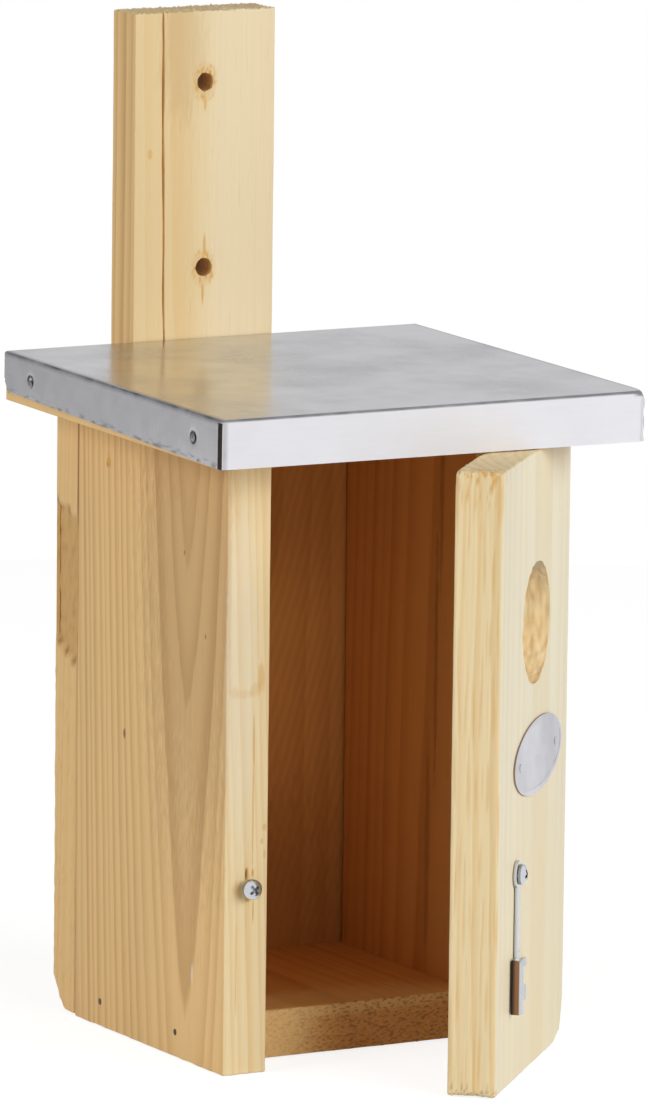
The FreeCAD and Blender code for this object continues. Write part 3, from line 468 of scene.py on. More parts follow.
def metal(which):
    """One of the metals, made when it is first asked for."""
    name, tone, rough, brushed, smudge, wear_and_shade_colour = METALS[which]
    if name in bpy.data.materials:
        return bpy.data.materials[name]
    tones = bpy.context.scene.nest_metal
    material = bpy.data.materials.new(name)
    tree = cleared(material)
    place = tree.node("ShaderNodeTexCoord").outputs["Object"]
    streak = tree.noise(place, brushed, 3.0)
    cloud = tree.smooth(tree.noise(place, (22, 22, 22), 5.0), 0.35, 0.72)
    mottle = tree.noise(place, (110, 110, 110), 4.0) - 0.5
    # Dull parts are rougher and more even, and paler, a painted light on the roof sheet's front flange
    dull = tree.attribute("dull")
    uneven = (mottle * 1.5 - cloud) * smudge * (1.0 - dull * 0.4)
    light = uneven + (dull * 0.165 + 1.0) + (streak - 0.5) * 0.08
    clean = tree.scaled(tuple(getattr(tones, tone)), light)
    # Wear and painted shade: from 0 to 1 the plating wears off, which also gives the painted shade on the fastener
    # heads and the plate's edge and the painted reflection on the hook's tab. From 1 to 2 what is under it
    # blackens, a painted shade round the roof tacks and at the hook tab's foot.
    worn = tree.attribute("worn")
    aged_and_shaded = tree.mix(worn, clean, rgba(getattr(tones, wear_and_shade_colour)))
    relief = {"Height": streak, "Strength": 0.05, "Distance": 0.1 * MM}
    look = {
        "Base Color": tree.mix(worn - 1.0, aged_and_shaded, rgba(np.array(tones.tarnish_and_shade) * 0.4)),
        "Metallic": 1.0 - dull * 0.35,
        "Roughness": (worn + dull) * 0.2 + (cloud * 0.12 + (streak * 0.08 + (rough - 0.06))),
        "Normal": tree.shader("Bump", relief),
    }
    tree.surface(tree.shader("BsdfPrincipled", look))
    return material


def new_object(name, data):
    made = bpy.data.objects.new(name, data)
    bpy.context.scene.collection.objects.link(made)
    return made


def new_mesh(name, points, faces):
    mesh = bpy.data.meshes.new(name)
    mesh.from_pydata(np.asarray(points).tolist(), [], faces)
    return mesh


def settle(obj):
    """Turn an object's modifiers into plain mesh."""
    bpy.context.view_layer.update()
    graph = bpy.context.evaluated_depsgraph_get()
    mesh = bpy.data.meshes.new_from_object(obj.evaluated_get(graph))
    obj.modifiers.clear()
    obj.data = mesh


SMOOTH_ANGLE = math.radians(38)


def finish_piece(obj, material, body, node):
    """Shade a finished piece and let it ride on its body in place of its CAD node."""
    obj.data.shade_smooth()
    obj.data.set_sharp_from_angle(angle=SMOOTH_ANGLE)
    obj.data.materials.clear()
    obj.data.materials.append(material)
    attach(obj, body)
    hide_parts(node)


def mark(obj, name, values):
    """Store a value for each point of a piece, for its material."""
    attribute = obj.data.attributes.new(name, "FLOAT", "POINT")
    attribute.data.foreach_set("value", np.asarray(values, np.float32))


def object_points(obj, turn, corner):
    """An object's points and normals along a piece's own directions, from its corner."""
    points, normals = (np.zeros(len(obj.data.vertices) * 3) for _ in range(2))
    obj.data.vertices.foreach_get("co", points)
    obj.data.vertex_normals.foreach_get("vector", normals)
    return points.reshape(-1, 3) @ turn - corner, normals.reshape(-1, 3) @ turn


EDGE_BAND = 1.8 * MM
EDGE_CELL = 0.3 * MM


def grid_lines(span, cell, bands):
    """Where grid lines lie along a span: even cells, closer within the bands and at both ends."""
    places = np.linspace(0.0, span, max(2, round(span / cell) + 1))
    ends = [(0.0, EDGE_BAND, EDGE_CELL), (span - EDGE_BAND, span, EDGE_CELL)]
    for low, high, step in [*bands, *ends]:
        outside = places[(places < low - step / 2) | (places > high + step / 2)]
        inside = np.linspace(low, high, round((high - low) / step) + 1)
        places = np.sort(np.concatenate((outside, inside)))
    return places


def grid_box(size, cells, bands=((), (), ())):
    """Points and outward quads of a box with so many millimetres to a cell in each direction."""
    lines = [grid_lines(*given) for given in zip(size, np.array(cells) * MM, bands)]
    shape = tuple(len(places) for places in lines)
    shell = np.ones(shape, bool)
    shell[1:-1, 1:-1, 1:-1] = False
    number = np.full(shape, -1)
    number[shell] = np.arange(shell.sum())
    points = np.column_stack([places[index] for places, index in zip(lines, np.nonzero(shell))])
    quads = []
    for axis in range(3):
        for end in (0, -1):
            face = np.take(number, end, axis=axis)
            corners = [face[:-1, :-1], face[1:, :-1], face[1:, 1:], face[:-1, 1:]]
            if (end == 0) == (axis != 1):
                corners.reverse()
            quads.append(np.stack(corners, axis=-1).reshape(-1, 4))
    return points, np.concatenate(quads)


def eased(points, low, high, radius):
    """Round the edges of a box by a radius for each point: the points and the way out at each."""
    radius = np.broadcast_to(radius, len(points))[:, None]
    core = np.clip(points, low + radius, high - radius)
    out = points - core
    depth = np.abs(out).max(axis=1)
    out = out / np.maximum(np.linalg.norm(out, axis=1), 1e-9)[:, None]
    return core + out * depth[:, None], out


def lumps(points, pitch, seed):
    """Smooth noise from about -1 to 1, with lumps a pitch in millimetres apart in each direction."""
    places = points / (np.array(pitch) * MM) + seed * 7.31
    return np.array([noise.noise(place) for place in places.tolist()])


def ramp(values, low, high):
    """A smooth step from 0 at one limit to 1 at the other."""
    share = np.clip((values - low) / (high - low), 0.0, 1.0)
    return share * share * (3.0 - 2.0 * share)


def fade(values, low, high):
    """A smooth step from 1 at one limit to 0 at the other."""
    return 1.0 - ramp(values, low, high)


BORE_STEPS = 144
BORE_RINGS = 46
BORE_OVERRUN = 3 * MM


def ragged_bore(centre, depth, radius, rough, pitch, seed):
    """Points and faces of a cutter for a torn hole through a board."""
    turns = np.linspace(0.0, 2 * math.pi, BORE_STEPS, endpoint=False)
    depths = np.linspace(-BORE_OVERRUN, depth + BORE_OVERRUN, BORE_RINGS)
    around, through = (values.ravel() for values in np.meshgrid(turns, depths))
    wall = np.column_stack((radius * np.cos(around), through, radius * np.sin(around)))
    swell = 1.0 + rough / radius * lumps(wall, pitch, seed)
    wall[:, 0] *= swell
    wall[:, 2] *= swell
    faces = []
    for near in range(0, BORE_STEPS * (BORE_RINGS - 1), BORE_STEPS):
        for step in range(BORE_STEPS):
            ends = (near + step, near + (step + 1) % BORE_STEPS)
            faces.append((ends[0], ends[0] + BORE_STEPS, ends[1] + BORE_STEPS, ends[1]))
    faces.append(tuple(range(BORE_STEPS)))
    faces.append(tuple(reversed(range(len(wall) - BORE_STEPS, len(wall)))))
    return wall + centre, faces


def cut_out(obj, points, faces):
    """Take a cutter out of a piece."""
    cutter = new_object("cutter", new_mesh("cutter", points, faces))
    step = obj.modifiers.new("Cut", "BOOLEAN")
    step.operation = "DIFFERENCE"
    step.solver = "EXACT"
    step.object = cutter
    settle(obj)
    bpy.data.objects.remove(cutter)


def nothing(points, *_):
    return np.zeros(len(points))


FACE_WAVE = 0.06 * MM


def make_board(board):
    """Build one board as an eased, slightly uneven solid and give it its pine."""
    timber = bpy.context.scene.nest_timber
    node, turn, seed = board["node"], board["turn"], board["seed"]
    low, high = own_box(node, turn)
    size = high - low
    points, quads = grid_box(size, board["cells"], board.get("bands", ((), (), ())))
    uneven = 1.0 + 0.45 * lumps(points, (6, 6, 14), seed)
    radius = timber.edge_ease * uneven + board.get("ease", nothing)(points, size)
    points, out = eased(points, 0.0, size, radius)
    rough = timber.sawn_depth * ramp(np.abs(out[:, 2]), 0.5, 0.9) * lumps(points, (0.9, 0.9, 0.9), seed + 3)
    wave = FACE_WAVE * lumps(points, (22, 22, 60), seed + 5)
    rise = rough + wave + board.get("relief", nothing)(points, out, size)
    points = points + out * rise[:, None]
    if board.get("sloped"):
        points[:, 2] *= 1.0 - ROOF_FALL * (size[0] - points[:, 0]) / size[2]
    obj = new_object(node + "_timber", new_mesh(node, (points + low) @ turn.T, quads.tolist()))
    for hole in board.get("holes", ()):
        wall, faces = hole(low, size)
        cut_out(obj, wall @ turn.T, faces)
    obj.data.update()
    here, normals = object_points(obj, turn, low)
    # Painted light and shade: mark the faces that look the given ways for the second tone.
    warm = np.zeros(len(here))
    for way, amount in board.get("painted_light_faces", ()):
        warm = np.maximum(warm, amount * ramp(normals @ way, 0.5, 0.8))
    torn = board.get("torn", nothing)(here, size)
    mark(obj, "warm", warm)
    mark(obj, "torn", torn)
    mark(obj, "stain", board.get("stain", nothing)(here, size))
    sawn = ramp(np.abs(normals[:, 2]), 0.55, 0.9) * fade(torn, 0.0, 0.2)
    mark(obj, "end_grain", board.get("end_share", 1.0) * sawn)
    finish_piece(obj, pine(board, low), board["body"], node)


# The batten's drying crack and torn hanging holes
CRACK_ACROSS = 12.0 * MM
CRACK_LEAN = 0.009
CRACK_WANDER = 0.8 * MM
CRACK_DEPTH = 1.0 * MM
TORN_DEPTH = 0.55 * MM
TOP_FUZZ = 0.7 * MM
HANGING = named(frame["record"]["mounts"], "hanging_screws")["dims"]
HOLE_RADIUS = HANGING["hole_r_mm"] * MM
BATTEN_LOW, BATTEN_HIGH = own_box("hanging_batten", SQUARE)
BATTEN_TOP = BATTEN_HIGH[2] - BATTEN_LOW[2]
HOLE_ACROSS = -BATTEN_LOW[0]
HOLE_ALONG = [way * HANGING["spacing_y_mm"] / 2 * MM - BATTEN_LOW[2] for way in (-1, 1)]


def crack_share(points):
    """How far a point lies in the batten's crack, from 0 beside it to 1 at its middle."""
    across, _, along = points.T
    line = points * Z
    middle = CRACK_ACROSS + CRACK_LEAN * (BATTEN_TOP - along) + CRACK_WANDER * lumps(line, (1, 1, 32), 4)
    half = bpy.context.scene.nest_timber.crack_width / 2 * (0.85 + 0.65 * lumps(line, (1, 1, 13), 6))
    half = half * ramp(along, 0.55 * BATTEN_TOP, 0.75 * BATTEN_TOP)
    half = half * ramp(BATTEN_TOP - along, -2 * MM, 3 * MM)
    return np.clip(1.0 - np.abs(across - middle) / np.maximum(half, 1e-7), 0.0, 1.0)


def hole_distance(points, across=1.0, along=1.0):
    """How far a point lies from the nearer hanging hole's axis."""
    away = [np.hypot((points[:, 0] - HOLE_ACROSS) * across, (points[:, 2] - z) * along) for z in HOLE_ALONG]
    return np.minimum(*away)


def batten_relief(points, out, size):
    near = fade(hole_distance(points, 1.25, 0.8), HOLE_RADIUS, HOLE_RADIUS + 2.6 * MM)
    torn = TORN_DEPTH * near * lumps(points, (0.8, 1000, 2.4), 8)
    fuzz = TOP_FUZZ * ramp(out[:, 2], 0.4, 0.8) * lumps(points, (0.9, 0.9, 2.0), 10)
    return fuzz + np.where(out[:, 1] < -0.6, torn - CRACK_DEPTH * crack_share(points), 0.0)


def batten_torn(points, size):
    through = points[:, 1]
    specks = ramp(lumps(points, (0.9, 2.0, 1.8), 9), 0.05, 0.4)
    near = fade(hole_distance(points, 1.1, 0.75), HOLE_RADIUS, HOLE_RADIUS + 3.2 * MM)
    rim = np.clip(near * (0.3 + 1.2 * specks), 0.0, 0.95)
    wall = (through > 0.5 * MM) & (hole_distance(points) < HOLE_RADIUS + 1.0 * MM)
    crack = 0.9 * np.sqrt(crack_share(points)) * (through < CRACK_DEPTH)
    return np.where(wall, 0.55, np.where(through < 0.5 * MM, np.maximum(rim, crack), crack))


# Painted shade inside the drying crack and deeper in the hanging holes.
def batten_recess_shade(points, size):
    through = points[:, 1]
    dark = np.clip(0.35 + 0.6 * lumps(points * Z, (1, 1, 12), 11), 0.0, 0.8)
    crack = np.where(through < CRACK_DEPTH + 0.5 * MM, dark * crack_share(points), 0.0)
    deep = ramp(through, 2 * MM, 12 * MM) * (hole_distance(points) < HOLE_RADIUS + 1.0 * MM)
    return np.maximum(crack, 0.4 * deep)


def hanging_hole(along, seed):
    def wall(low, size):
        centre = low + (HOLE_ACROSS, 0.0, along)
        return ragged_bore(centre, size[1], HOLE_RADIUS, 0.25 * MM, (1.8, 5.0, 1.8), seed)

    return wall


# The rough waney hollow in the back board's left edge, and its rounded lower rear edge
WANE_DEPTH = 1.4 * MM
WANE_FOOT = 133.0 * MM
WANE_TOP = 195.0 * MM
WANE_FOOT_RISE = 9.5 * MM
WANE_TOP_RISE = 5.7 * MM
WANE_ROUGH = 0.35 * MM
SAWN_ROUGH = 0.2 * MM
REAR_ROUND = 5.3 * MM


def wane_share(points, size):
    across, through, along = points.T
    rear = through / size[1]
    above_foot = along - WANE_FOOT - WANE_FOOT_RISE * rear
    below_top = WANE_TOP - WANE_TOP_RISE * (1.0 - rear) - along
    inside = ramp(above_foot, -1.0 * MM, 1.0 * MM) * ramp(below_top, -1.0 * MM, 1.0 * MM)
    return inside * (across < 4.0 * MM)


def back_relief(points, out, size):
    wane = wane_share(points, size)
    below = SAWN_ROUGH * fade(points[:, 2], WANE_FOOT, WANE_TOP) * lumps(points, (1.4, 1.4, 2.5), 13)
    rough = WANE_ROUGH * lumps(points, (2.0, 2.5, 4.0), 12) * wane + below
    away = ramp(points[:, 1], 0.6 * MM, 3.0 * MM)
    return np.where(out[:, 0] < -0.5, away * (rough - WANE_DEPTH * wane), 0.0)


def back_stain_and_shade(points, size):
    across, through, along = points.T
    specks = ramp(lumps(points, (1.4, 1.8, 2.6), 14), 0.0, 0.5)
    wane = wane_share(points, size)
    # Painted shade along the rim of the waney hollow.
    rim = 0.8 * 4.0 * wane * (1.0 - wane)
    above = ramp(along, WANE_TOP - 12 * MM, WANE_TOP)
    joint = (0.25 + 0.5 * above) * fade(through, 0.6 * MM, 1.5 * MM)
    shade = np.maximum((0.2 + 0.22 * specks) * wane, np.maximum(rim, joint))
    return np.where(across < 2.5 * MM, shade, 0.0)


def back_torn(points, size):
    specks = ramp(lumps(points, (1.2, 1.2, 2.6), 15), 0.2, 0.55)
    below = 0.3 * specks * fade(points[:, 2], WANE_FOOT, WANE_TOP)
    return np.where(points[:, 0] < 2.5 * MM, np.maximum(below, 0.35 * wane_share(points, size)), 0.0)


def back_ease(points, size):
    rear = ramp(points[:, 1], 0.45 * size[1], 0.75 * size[1])
    return REAR_ROUND * rear * fade(points[:, 2], 6 * MM, 12 * MM)


# Rounding that leaves a gap in the box's inner corner, and depth of the strokes on the floor's sawn edge
CORNER_GAP = 1.3 * MM
STROKE_DEPTH = 0.5 * MM


def right_ease(points, size):
    """A rounded inner rear edge, which leaves a dark gap in the box's corner."""
    inner = ramp(points[:, 0], 0.9 * size[0], size[0]) * ramp(points[:, 1], 0.4 * size[1], 0.8 * size[1])
    return CORNER_GAP * inner * fade(points[:, 2], 0.6 * size[2], 0.85 * size[2])


def right_corner_shade(points, size):
    """Shade in the gap at the box's inner corner."""
    inner = (points[:, 1] > size[1] - 1.0 * MM) * ramp(points[:, 0], size[0] - 1.7 * MM, size[0] - 0.9 * MM)
    return inner * (1.75 - 0.9 * ramp(points[:, 2], 0.55 * size[2], 0.8 * size[2]))


def floor_strokes(points):
    return lumps(points, (1.9, 0.8, 1000), 16)


def floor_stain(points, size):
    """Dark torn strokes on the sawn front edge, closer together on its right."""
    stroke = ramp(floor_strokes(points) + 0.6 * lumps(points, (0.9, 0.6, 1000), 17), 0.08, 0.45)
    closer = 0.18 + 0.57 * ramp(points[:, 0], 0.15 * size[0], 0.5 * size[0])
    return np.where(points[:, 2] < 0.6 * MM, stroke * closer, 0.0)


def floor_relief(points, out, size):
    return STROKE_DEPTH * ramp(-out[:, 2], 0.5, 0.9) * floor_strokes(points)


# The door's upright edges, chips and saw lines, and the room that the roof leaves for its sheet's corner
DOOR_ROUND = 0.4 * MM
CHIP_DEPTH = 0.3 * MM
SAW_LINE_DEPTH = 0.15 * MM
CORNER_ROOM = 3.2 * MM
# The door's torn entrance hole and knocked corners: share across, through and along, radius and reach
ENTRANCE = named(frame["record"]["mounts"], "entrance_hole")
ENTRANCE_RADIUS = ENTRANCE["dims"]["r_mm"] * MM
KNOCKED_CORNERS = (
    ((0.0, 1.0, 1.0), 1.2 * MM, 7.0 * MM),
    ((0.0, 0.5, 0.0), 2.4 * MM, 8.0 * MM),
    ((1.0, 0.0, 0.0), 4.4 * MM, 13.0 * MM),
)


def door_ease(points, size):
    """Extra rounding along the door's upright edges, and where its corners have been knocked."""
    extra = np.full(len(points), DOOR_ROUND)
    for share, radius, reach in KNOCKED_CORNERS:
        away = np.linalg.norm(points - np.array(share) * size, axis=1)
        extra = np.maximum(extra, radius * fade(away, 0.2 * reach, 1.4 * reach))
    return extra


def free_edge_lines(points):
    """Long saw lines down the door's free edge."""
    return lumps(points, (1.1, 1.1, 26.0), 26)


def door_relief(points, out, size):
    top = ramp(points[:, 2], size[2] - 14 * MM, size[2])
    torn = CHIP_DEPTH * top * lumps(points, (2.2, 2.2, 5.0), 22) * (np.abs(out[:, 2]) > 0.2)
    return torn - SAW_LINE_DEPTH * ramp(-out[:, 0], 0.6, 0.9) * free_edge_lines(points)


def entrance_centre(low):
    centre = np.array(ENTRANCE["pos_m"]) @ ON_DOOR
    centre[1] = low[1]
    return centre


def door_torn(points, size):
    low, _ = own_box("door_board", ON_DOOR)
    middle = entrance_centre(low) - low
    away = np.hypot(points[:, 0] - middle[0], points[:, 2] - middle[2])
    wall = (away < ENTRANCE_RADIUS + 1.2 * MM) & (points[:, 1] > 0.3 * MM)
    wall_tone = 0.12 + 0.55 * lumps(points, (2.4, 1.6, 7.0), 24)
    chipped = np.linalg.norm((points - (0.0, size[1] / 2, size[2])) / (1.0, 1.0, 1.2), axis=1)
    chip = fade(chipped, 4 * MM, 15 * MM) * ramp(lumps(points, (1.5, 1.5, 4.0), 25), 0.0, 0.35)
    streak = ramp(free_edge_lines(points), 0.1, 0.5) * (points[:, 0] < 1.0 * MM)
    return np.where(wall, np.clip(wall_tone, 0.03, 0.6), np.maximum(0.9 * chip, 0.36 * streak))


def door_dirt_and_shade(points, size):
    """Dirt specks at the foot of the free edge, and a painted shadow of the roof as dark marks among the chips at
    the rear of its head.
    """
    across, through, along = points.T
    free = across < 3.0 * MM
    foot = fade(along, 1.5 * MM, 5.0 * MM) * free
    head = ramp(along, size[2] - 8 * MM, size[2] - 2 * MM) * free * ramp(through, 0.3 * size[1], size[1])
    # Painted shadow of the roof: dark marks among the chips at the rear of the door's head.
    chips = 0.55 * head * ramp(lumps(points, (1.2, 1.2, 2.6), 28), 0.15, 0.45)
    return np.maximum(0.7 * foot * ramp(lumps(points, (0.9, 0.9, 0.9), 27), 0.2, 0.5), chips)


def entrance_hole(low, size):
    return ragged_bore(entrance_centre(low), size[1], ENTRANCE_RADIUS, 0.7 * MM, (2.4, 1.8, 6.0), 31)


def roof_seam_shade(points, size):
    """Painted shade: the wood behind the open seam at the roof's left front corner is blackened."""
    return np.where((points[:, 0] < 2.5 * MM) & (points[:, 2] < 5.0 * MM), 1.9, 0.0)


def roof_ease(points, size):
    """Room for the sheet's knocked right front corner."""
    return CORNER_ROOM * fade(np.hypot(size[0] - points[:, 0], points[:, 2]), 2 * MM, 9 * MM)


def fine(middle, reach, step):
    return (middle - reach * MM, middle + reach * MM, step * MM)


# Spots: place, reach, stuff and strength, in millimetres from the board's lowest corner
LEFT_SPOTS = (
    ((24, 18, 200), (52, 3, 160), "bark_and_shade", 0.27),
    # Painted shade under the roof sheet's flange at the top of the left side.
    ((50, 18, 236), (75, 3, 34), "bark_and_shade", 0.13),
    ((0, 12, 150), (3, 9, 90), "fresh", 0.35),
    ((79, 18, 115.3), (1.2, 3, 2.8), "bark_and_shade", 0.9),
    ((16.4, 18, 161.6), (0.8, 3, 1.6), "bark_and_shade", 0.6),
    ((33.3, 18, 190.4), (0.9, 3, 1.4), "bark_and_shade", 0.6),
    ((93, 18, 215.5), (2.2, 3, 2.6), "resin", 0.9),
    ((94, 18, 214.5), (0.7, 3, 1.2), "bark_and_shade", 0.5),
    ((24.5, 18, 33.5), (0.8, 3, 4.5), "fresh", 0.7),
    ((0, 8.7, 75.0), (2, 1.1, 3.6), "resin", 0.8),
    ((0, 9.1, 75.5), (2, 0.6, 2.8), "bark_and_shade", 0.9),
    # Partly a painted shadow of the catch screw, partly a bruise in the wood.
    ((0, 12.4, 69.5), (2, 2.8, 4.5), "resin", 0.4),
    ((0, 6.3, 75.5), (2, 0.6, 2.4), "resin", 0.9),
    ((0, 8.2, 65.5), (2, 1.2, 1.4), "resin", 0.8),
    ((0, 6.0, 61), (2, 0.45, 6), "resin", 0.75),
    ((0, 6.4, 96), (2, 0.5, 24), "resin", 0.55),
    ((0, 5.6, 143.6), (2, 3.4, 3.6), "resin", 0.28),
    ((0, 10.5, 142.2), (2, 4.0, 2.2), "resin", 0.2),
    ((0, 14.8, 143.0), (2, 2.4, 3.0), "resin", 0.2),
    ((0, 3.4, 148), (2, 2.0, 7), "resin", 0.45),
    ((0, 1.6, 92), (2, 1.2, 1.8), "resin", 0.45),
    ((0, 2.6, 87), (2, 0.9, 1.4), "resin", 0.4),
    ((0, 1.4, 82), (2, 0.9, 2.2), "resin", 0.4),
    ((0, 6.3, 122), (2, 0.6, 16), "resin", 0.6),
    ((0, 13, 40), (2, 0.5, 24), "resin", 0.35),
)
RIGHT_SPOTS = (
    ((25, 18, 215), (2.0, 3, 60), "bark_and_shade", 0.5),
    ((28, 18, 140), (1.8, 3, 60), "bark_and_shade", 0.5),
    ((33, 18, 65), (2.4, 3, 55), "bark_and_shade", 0.4),
)
BACK_SPOTS = (
    ((0, 9, 120), (3, 60, 400), "tan_early", 0.75),
    # Painted shade low on the back board's inner face.
    ((66, 0, 20), (95, 3, 75), "bark_and_shade", 0.3),
)
# Painted light and shade on the floor: its front edge is paler on the left and deeper on the right in the door's
# shadow, and its top is paler near the opening.
FLOOR_PAINTED_LIGHT = (
    ((0, 9, 0), (44, 40, 3), "tan_early", 0.95),
    ((80, 9, 0), (64, 40, 3), "inner_late", 0.8),
    ((40, 0, 2), (80, 6, 32), "tan_early", 0.42),
)
BATTEN_SPOTS = (
    ((10, 0, 300), (17, 3, 500), "pale_late", 0.55),
    ((30.2, 0, 287), (0.7, 2, 5.5), "resin", 0.8),
    ((29.6, 0, 268.5), (0.7, 2, 5.5), "resin", 0.85),
    ((30.0, 0, 341), (0.8, 2, 4.0), "resin", 0.7),
    ((6.6, 0, 322.5), (1.2, 2, 2.4), "resin", 0.5),
    ((52, 0, 300), (0.5, 2, 30), "resin", 0.12),
    ((48, 0, 300), (22, 3, 500), "fresh", 0.22),
    ((20, 0, 362), (13, 3, 36), "bark_and_shade", 0.13),
)
DOOR_SPOTS = (((60, 0, 20), (80, 4, 120), "pale_early", 0.3),)

# Boards: cells, pith, peak and the nailed face are in millimetres, and shares are of the usual value
# The second tone of each board, on the faces that look the listed ways, is a painted light and shade.
BOX_BOARDS = (
    {
        "node": "left_side_board", "body": "box", "turn": UPRIGHT_SIDE, "cells": (4, 2, 5), "sloped": True,
        "tone": "pale", "painted_light_tone": "tan", "painted_light_faces": ((Y, 1.0), (-Y, 1.0)), "spots": LEFT_SPOTS,
        "pith": (30, -62.9, 0), "lean": (0.0, -0.0405), "peak": 20, "seed": 1, "nailed": ("floor_nails", 18),
    },
    {
        "node": "right_side_board", "body": "box", "turn": UPRIGHT_SIDE, "cells": (4, 2, 5), "sloped": True,
        "tone": "tan", "painted_light_tone": "inner", "painted_light_faces": ((Y, 1.0),), "spots": RIGHT_SPOTS,
        "pith": (20, 85, 0), "lean": (0.02, -0.01), "ring_share": 1.6, "seed": 2,
        "nailed": ("floor_nails", 0), "ease": right_ease, "stain": right_corner_shade,
    },
    {
        "node": "back_board", "body": "box", "turn": SQUARE, "cells": (4, 1.2, 3),
        "tone": "tan", "painted_light_tone": "inner", "painted_light_faces": ((-Y, 1.0),), "spots": BACK_SPOTS,
        "pith": (75, 120, 0), "lean": (0.03, 0.012), "seed": 3, "saw_marks": (3.6, 0.3, 0.075),
        "relief": back_relief, "stain": back_stain_and_shade, "torn": back_torn, "ease": back_ease,
    },
    {
        "node": "floor_board", "body": "box", "turn": LEVEL, "cells": (0.5, 0.35, 4),
        "tone": "tan", "painted_light_tone": "inner", "painted_light_faces": ((-Y, 1.0), (-Z, 0.65)), "spots": FLOOR_PAINTED_LIGHT,
        "pith": (35, 50, 0), "lean": (0.02, 0.01), "seed": 4, "end_share": 0.15,
        "stain": floor_stain, "relief": floor_relief,
    },
    {
        "node": "hanging_batten", "body": "box", "turn": SQUARE, "cells": (0.8, 0.8, 5),
        "tone": "pale", "painted_light_tone": "tan", "painted_light_faces": ((-X, 1.0),), "spots": BATTEN_SPOTS,
        "pith": (46, 85, 0), "lean": (0.004, 0.006), "ring_share": 1.3, "seed": 5, "end_share": 0.4,
        "bands": (
            (fine(CRACK_ACROSS + 0.7 * MM, 2.2, 0.2), fine(HOLE_ACROSS, 7, 0.6)),
            (),
            tuple(fine(along, 8, 0.8) for along in HOLE_ALONG),
        ),
        "relief": batten_relief, "stain": batten_recess_shade, "torn": batten_torn,
        "holes": tuple(hanging_hole(along, 40 + index) for index, along in enumerate(HOLE_ALONG)),
    },
    {
        "node": "roof_board", "body": "box", "turn": ON_ROOF @ LEVEL, "cells": (6, 2, 6),
        "tone": "tan", "painted_light_tone": "tan", "pith": (80, 90, 0), "lean": (0.01, 0.01), "seed": 6,
        "stain": roof_seam_shade, "ease": roof_ease, "bands": ((), (), (fine(3 * MM, 3, 0.5),)),
    },
)
# The door's second tone, on its free edge and top, is a painted light.
DOOR_BOARD = {
    "node": "door_board", "body": "door", "turn": ON_DOOR, "cells": (1.5, 0.5, 3),
    "tone": "white", "painted_light_tone": "pale", "painted_light_faces": ((-X, 1.0), (Z, 1.0)), "spots": DOOR_SPOTS,
    "pith": (70, -85, 0), "lean": (0.006, -0.004), "ring_share": 1.4, "seed": 7, "end_share": 0.12,
    "relief": door_relief, "ease": door_ease, "torn": door_torn, "stain": door_dirt_and_shade,
    "holes": (entrance_hole,),
}


class NESTBOX_OT_boards(bpy.types.Operator):
    """Make the fixed boards and the hanging batten"""

    bl_idname = "nestbox.boards"
    bl_label = "Boards"

    def execute(self, context):
        for board in BOX_BOARDS:
            make_board(board)
        return {"FINISHED"}


class NESTBOX_OT_door(bpy.types.Operator):
    """Make the hinged front with its entrance hole"""

    bl_idname = "nestbox.door"
    bl_label = "Door"

    def execute(self, context):
        make_board(DOOR_BOARD)
        return {"FINISHED"}


def solids_of(node):
    """The separate solids of a CAD node, each as its corner points."""
    points = cad_points(node)
    corners, same = np.unique(np.round(points, 7), axis=0, return_inverse=True)
    pairs = np.zeros(len(NODES[node].data.edges) * 2, int)
    NODES[node].data.edges.foreach_get("vertices", pairs)
    first, second = same.ravel()[pairs].reshape(-1, 2).T
    label = np.arange(len(corners))
    while (label[first] != label[second]).any():
        lower = np.minimum(label[first], label[second])
        np.minimum.at(label, first, lower)
        np.minimum.at(label, second, lower)
    return [corners[label == which] for which in np.unique(label)]


# Roof sheet: its side flanges' rise to the rear, its clipped rear corners, its faint waves, its nail dimples,
# its knocked corner and the worn band beside its folds
FLANGE_RISE = 3.2 * MM
FLANGE_SKEW = 0.8 * MM
CLIP_LENGTH = 3.9 * MM
CLIP_HEIGHT = 6.3 * MM
SHEET_WAVE = 0.04 * MM
NAIL_DIMPLE = 0.12 * MM
DIMPLE_REACH = 2.2 * MM
NAIL_EDGE = 1.9 * MM
CORNER_DENT = 0.5 * MM
FOLD_BAND = 1.5 * MM
FAR = 10.0


